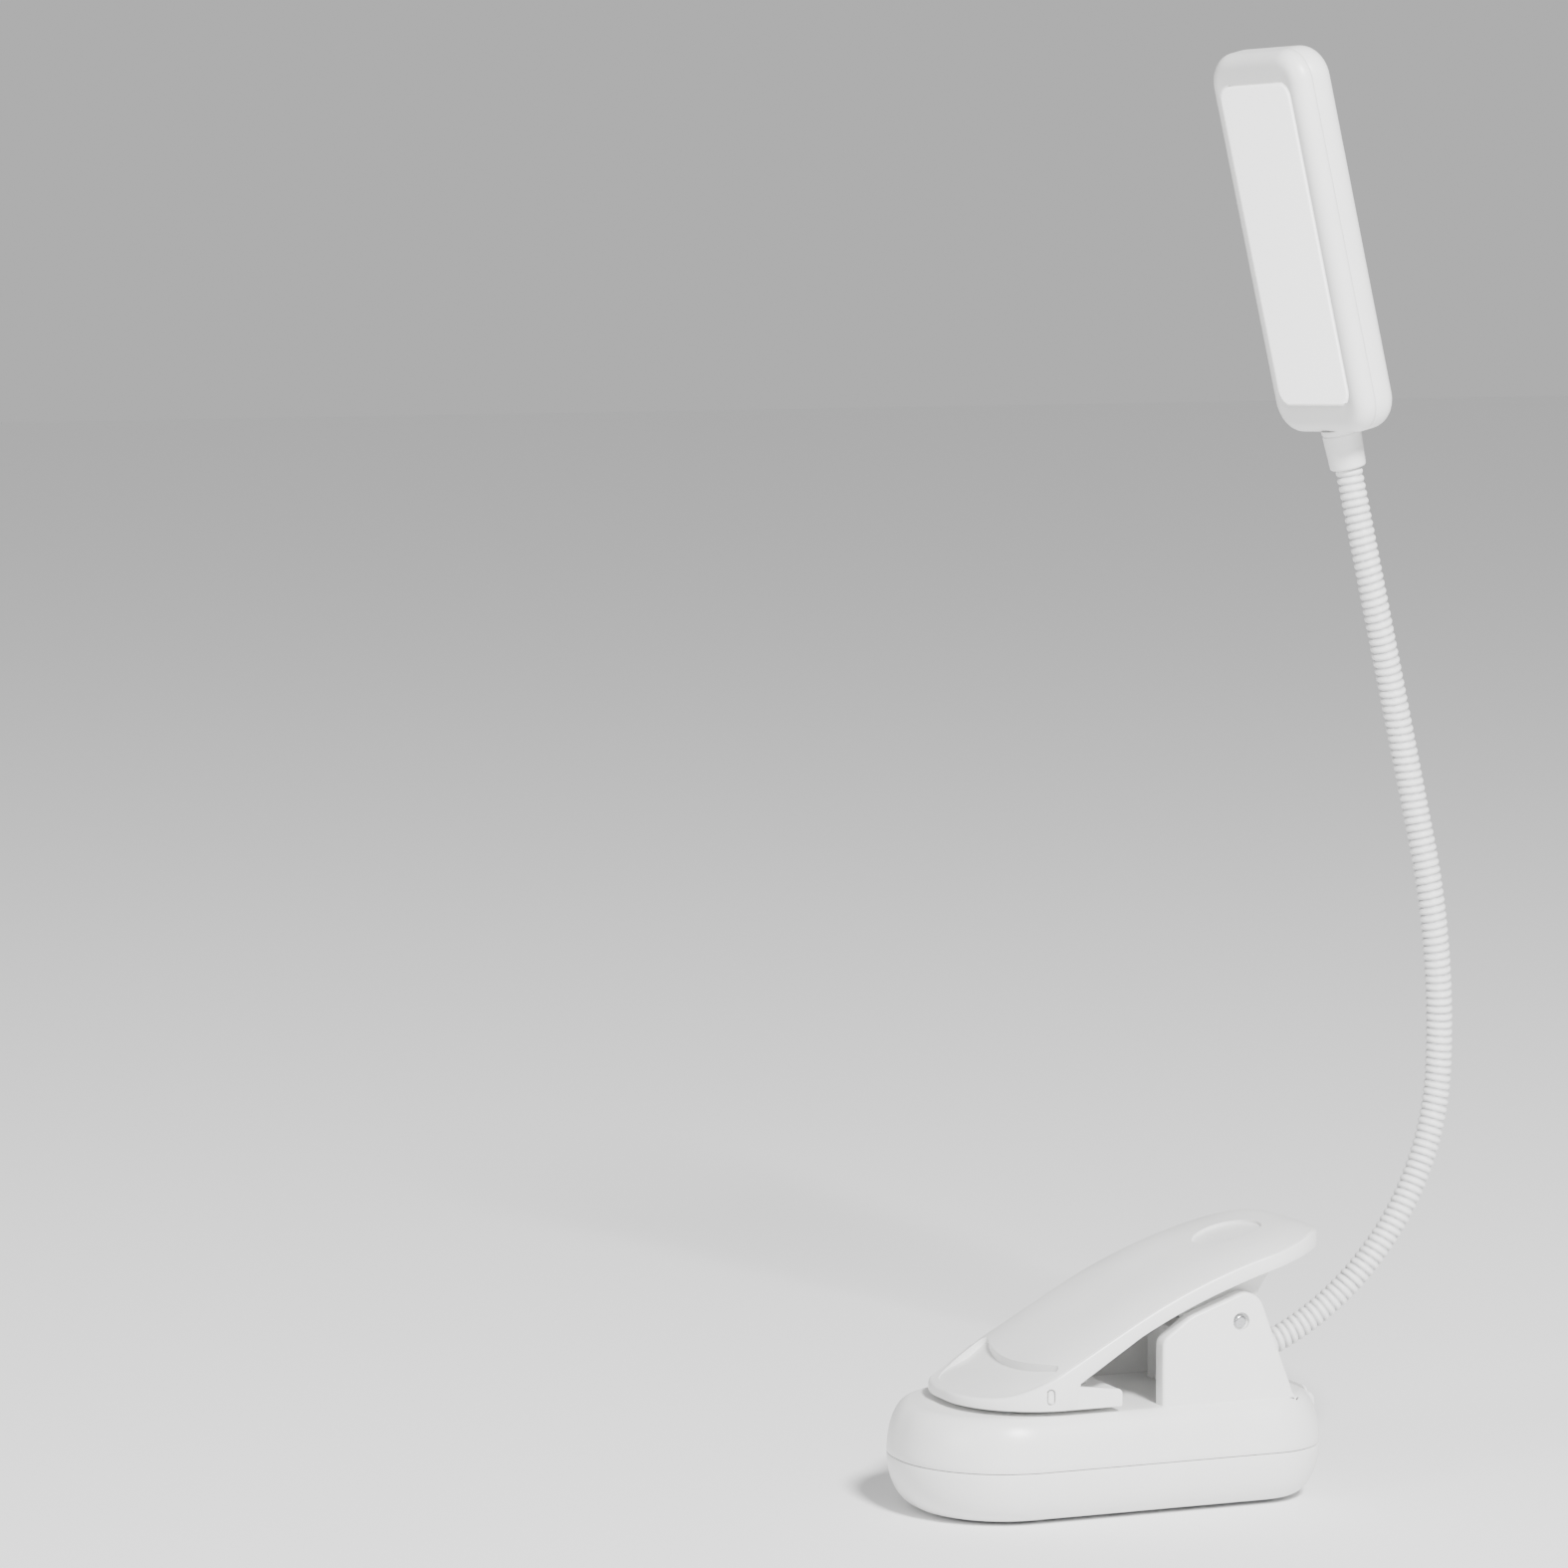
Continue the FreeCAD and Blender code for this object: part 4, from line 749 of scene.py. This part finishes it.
def neckRings(start, end):
    # radius = radius - ridge*(1 - |cos|^0.7), the ridges leaning a little as a wound hose's do
    count = max(int((end - start) / neck["pitch"] * neck["ringsPerRidge"]), 4)
    length = np.linspace(start, end, count)
    path, along = neckPath(length)
    angle = np.linspace(0, 2 * math.pi, neck["around"], endpoint=False)
    lean = 0.14 * np.sin(angle + length[:, None] * 0.11)
    phase = math.pi * (length[:, None] / neck["pitch"] + lean)
    valley = 1 - np.abs(np.cos(phase)) ** 0.7
    radius = neck["radius"] - neck["ridge"] * valley
    sideways = np.repeat([[1.0, 0, 0]], count, axis=0)
    upward = np.cross(along, sideways)
    return path[:, None] + radius[..., None] * (np.cos(angle)[None, :, None] * sideways[:, None]
                                                + np.sin(angle)[None, :, None] * upward[:, None])


def markValleyShade(piece):
    # how deep each point lies below the ridges, 0 to 1, kept on the mesh for the finish to paint shade
    # into the valleys
    points = np.empty(len(piece.data.vertices) * 3)
    piece.data.vertices.foreach_get("co", points)
    points = points.reshape(-1, 3) / mm
    length = np.linspace(-6, neckEnd + 4, 6000)
    path = neckPath(length)[0]
    nearest = np.abs(points[:, None, 1:] - path[None, ::40, 1:]).sum(-1).argmin(1) * 40
    window = np.clip(nearest[:, None] + np.arange(-60, 61)[None], 0, len(length) - 1)
    away = np.linalg.norm(points[:, None] - path[window], axis=-1).min(1)
    depth = np.clip((neck["radius"] - away) / neck["ridge"], 0, 1)
    mark = piece.data.attributes.new("valley", "FLOAT", "POINT")
    mark.data.foreach_set("value", depth.astype(np.float32))


middles = (pivotAt[:-1] + pivotAt[1:]) / 2
cuts = np.concatenate([[-4.5], middles])
for i in range(10):
    piece = ringSolid("gooseneck%02d" % (i + 1), neckRings(cuts[i], cuts[i + 1]), "coated_neck",
                      None, ("neck_link_%02d" % (i + 1),), 60)
    markValleyShade(piece)
    if i == 0:
        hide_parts("neck_anchor")
    spots = neckPath(cuts[i:i + 2])[0] * mm
    tuple(spots[0])
    tuple(spots[1])
    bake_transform(piece)
markValleyShade(ringSolid("gooseneck11", neckRings(cuts[10], neckEnd + 3.0), "coated_neck", "neck_10",
                      (), 60))
print("gooseneck made")


# head, drawn upright about the neck's end and then turned into place

head = {"twist": 8.6, "collarLength": 6.6, "half": 12.75,
        "height": 64, "halfThick": 4, "split": -1, "wall": 1.5, "corner": 5.5, "backRound": 3.3,
        "frontRound": 2.4, "windowHalf": 9.9, "windowHeight": 54, "windowRound": 2.6,
        "panelGap": 0.22, "panelProud": 0.15, "seam": 0.03, "seamDepth": 0.12}
endSpot, endWay = (value[0] for value in neckPath(np.array([neckEnd])))
tilt = math.atan2(endWay[2], endWay[1]) - math.pi / 2
twist = math.radians(head["twist"])
turnTwist = np.array([[math.cos(twist), -math.sin(twist), 0], [math.sin(twist), math.cos(twist), 0],
                      [0, 0, 1]])
turnTilt = np.array([[1, 0, 0], [0, math.cos(tilt), -math.sin(tilt)],
                     [0, math.sin(tilt), math.cos(tilt)]])


def placed(rings):
    return rings @ (turnTilt @ turnTwist).T + endSpot


def headPlan(half, low, high, corner, inset=0.0):
    # outline on the head's face, across and up, drawn in by inset
    spots, ways = roundedPlan(half, low, high, corner, corner, 20, (30, 10, 30, 10))
    return spots - ways * inset


def headRing(outline, level):
    return stack(outline[:, 0], np.full(len(outline), level), outline[:, 1])


foot = head["collarLength"]
top = foot + head["height"]
windowLow = foot + (head["height"] - head["windowHeight"]) / 2
windowHigh = windowLow + head["windowHeight"]
edgeAngle = np.linspace(0, math.pi / 2, 10)


def faceAt(inset):
    return headPlan(head["half"], foot, top, head["corner"], inset)


def windowAt(inset):
    return headPlan(head["windowHalf"], windowLow, windowHigh, head["windowRound"], inset)


backRings = [headRing(faceAt(head["wall"] + 1.4), head["halfThick"] - head["wall"]),
             headRing(faceAt(head["wall"]), head["halfThick"] - head["wall"] - 1.4),
             headRing(faceAt(head["wall"]), head["split"] + head["seam"]),
             headRing(faceAt(head["seamDepth"]), head["split"] + head["seam"]),
             headRing(faceAt(0.05), head["split"] + head["seam"] + 0.04)]
backRings += [headRing(faceAt(head["backRound"] * (1 - math.cos(a))),
                       head["halfThick"] - head["backRound"] * (1 - math.sin(a))) for a in edgeAngle]
backRings.insert(5, headRing(faceAt(0), head["split"] + head["seam"] + 0.14))
ringSolid("headBack", placed(np.stack(backRings)), "white_shell", "neck_10", ("head_rear_shell",), 45)

front = -head["halfThick"]
frontRings = [headRing(faceAt(head["wall"]), head["split"] - head["seam"]),
              headRing(faceAt(head["seamDepth"]), head["split"] - head["seam"]),
              headRing(faceAt(0.05), head["split"] - head["seam"] - 0.04),
              headRing(faceAt(0), head["split"] - head["seam"] - 0.14)]
frontRings += [headRing(faceAt(head["frontRound"] * (1 - math.cos(a))),
                        front + head["frontRound"] * (1 - math.sin(a))) for a in edgeAngle]
frontRings += [headRing(windowAt(-0.12), front), headRing(windowAt(-0.03), front + 0.04),
               headRing(windowAt(0), front + 0.14), headRing(windowAt(0), front + 1.1),
               headRing(faceAt(head["wall"]), front + 1.6)]
hoopSolid("headFront", placed(np.stack(frontRings)), "white_shell", "neck_10",
          ("head_front_frame",), 45)

proud = front - head["panelProud"]
gap = head["panelGap"]
panelRings = [headRing(windowAt(gap), front + 0.9), headRing(windowAt(gap), proud + 0.30),
              headRing(windowAt(gap + 0.05), proud + 0.12), headRing(windowAt(gap + 0.22), proud + 0.02),
              headRing(windowAt(gap + 0.5), proud)]
ringSolid("lightPanel", placed(np.stack(panelRings)), "diffuser", "neck_10", ("diffuser_panel",), 50)

# collar: a short cone with a soft lower lip and a fine groove under the head
collarRise = np.array([-0.02, 0.0, 0.12, 0.4, 2.0, 4.0, 5.7, 5.85, 6.0, 6.15, 6.6, 6.75])
collarWide = np.array([2.0, 2.65, 2.88, 3.01, 3.09, 3.18, 3.26, 3.14, 3.14, 3.27, 3.3, 3.3])
collarAngle = np.linspace(0, 2 * math.pi, 56, endpoint=False)
collarRings = stack(collarWide[:, None] * np.cos(collarAngle), collarWide[:, None] * np.sin(collarAngle),
                    collarRise[:, None])
ringSolid("collar", placed(collarRings), "white_shell", "neck_10", ("neck_collar",), 40)
print("head made")


# the CAD nodes that stay get their finishes

nodeFinish = {
    "steel": ("shell_screws", "block_screws", "jaw_screws", "hinge_pin", "usb_shell", "neck_end_nut"),
    "black_plastic": ("usb_tongue", "board_components"),
    "white_shell": ("port_trim_ring", "neck_block", "jaw_plate", "reflector_frame"),
    "battery_foil": ("battery_cell",), "lead_insulation": ("battery_leads", "head_leads"),
    "circuit_board": ("main_board",), "white_board": ("led_board",),
    "copper_foil": ("touch_electrode",), "led_phosphor": ("led_chips",),
}
for slot, names in nodeFinish.items():
    for name in names:
        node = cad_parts[name]
        for place in node.material_slots:
            place.material = finishes[slot]


# camera, floor and light

view = {"place": (0.9364, -0.4395, 0.2232), "aim": (0, -0.0561, 0.1208), "lens": 145.6}
camera = bpy.data.objects.new("camera", bpy.data.cameras.new("camera"))
bpy.context.scene.collection.objects.link(camera)
camera.data.lens = view["lens"]
camera.data.sensor_width = 36
camera.data.clip_start = 0.05
camera.location = view["place"]
camera.rotation_euler = (Vector(view["aim"]) - Vector(view["place"])).to_track_quat("-Z", "Y").to_euler()
bpy.context.scene.camera = camera

floorMaterial, floorTree, floorShader, floorMiddle = startFinish("paper_matt_white", "f6f6f6", 0.9)
grain(floorTree, floorShader, floorMiddle, 3.0, 0.01)
floorMesh = bpy.data.meshes.new("floor")
floorMesh.from_pydata([(-4, -4, -0.0002), (4, -4, -0.0002), (4, 4, -0.0002), (-4, 4, -0.0002)], [],
                      [(0, 1, 2, 3)])
floorMesh.materials.append(floorMaterial)
floor = bpy.data.objects.new("floor", floorMesh)
bpy.context.scene.collection.objects.link(floor)

lights = {
    # name: place, aim, size, watts
    "keyLight": ((1.0, 0.0, 0.95), (0, 0.0, 0.05), 0.25, 46.0),
    "headLight": ((0.35, -1.0, 0.45), (0, 0.03, 0.16), 0.3, 3.0),
}
for name, (place, aim, size, watts) in lights.items():
    data = bpy.data.lights.new(name, "AREA")
    data.shape = "DISK"
    data.size = size
    data.energy = watts
    lamp = bpy.data.objects.new(name, data)
    lamp.location = place
    lamp.rotation_euler = (Vector(aim) - Vector(place)).to_track_quat("-Z", "Y").to_euler()
    bpy.context.scene.collection.objects.link(lamp)

world = bpy.data.worlds.new("paleStudio")
world.use_nodes = True
backdrop = world.node_tree.nodes["Background"]
backdrop.inputs["Color"].default_value = linear("ffffff")
backdrop.inputs["Strength"].default_value = 0.55
bpy.context.scene.world = world
print("camera and lights made")
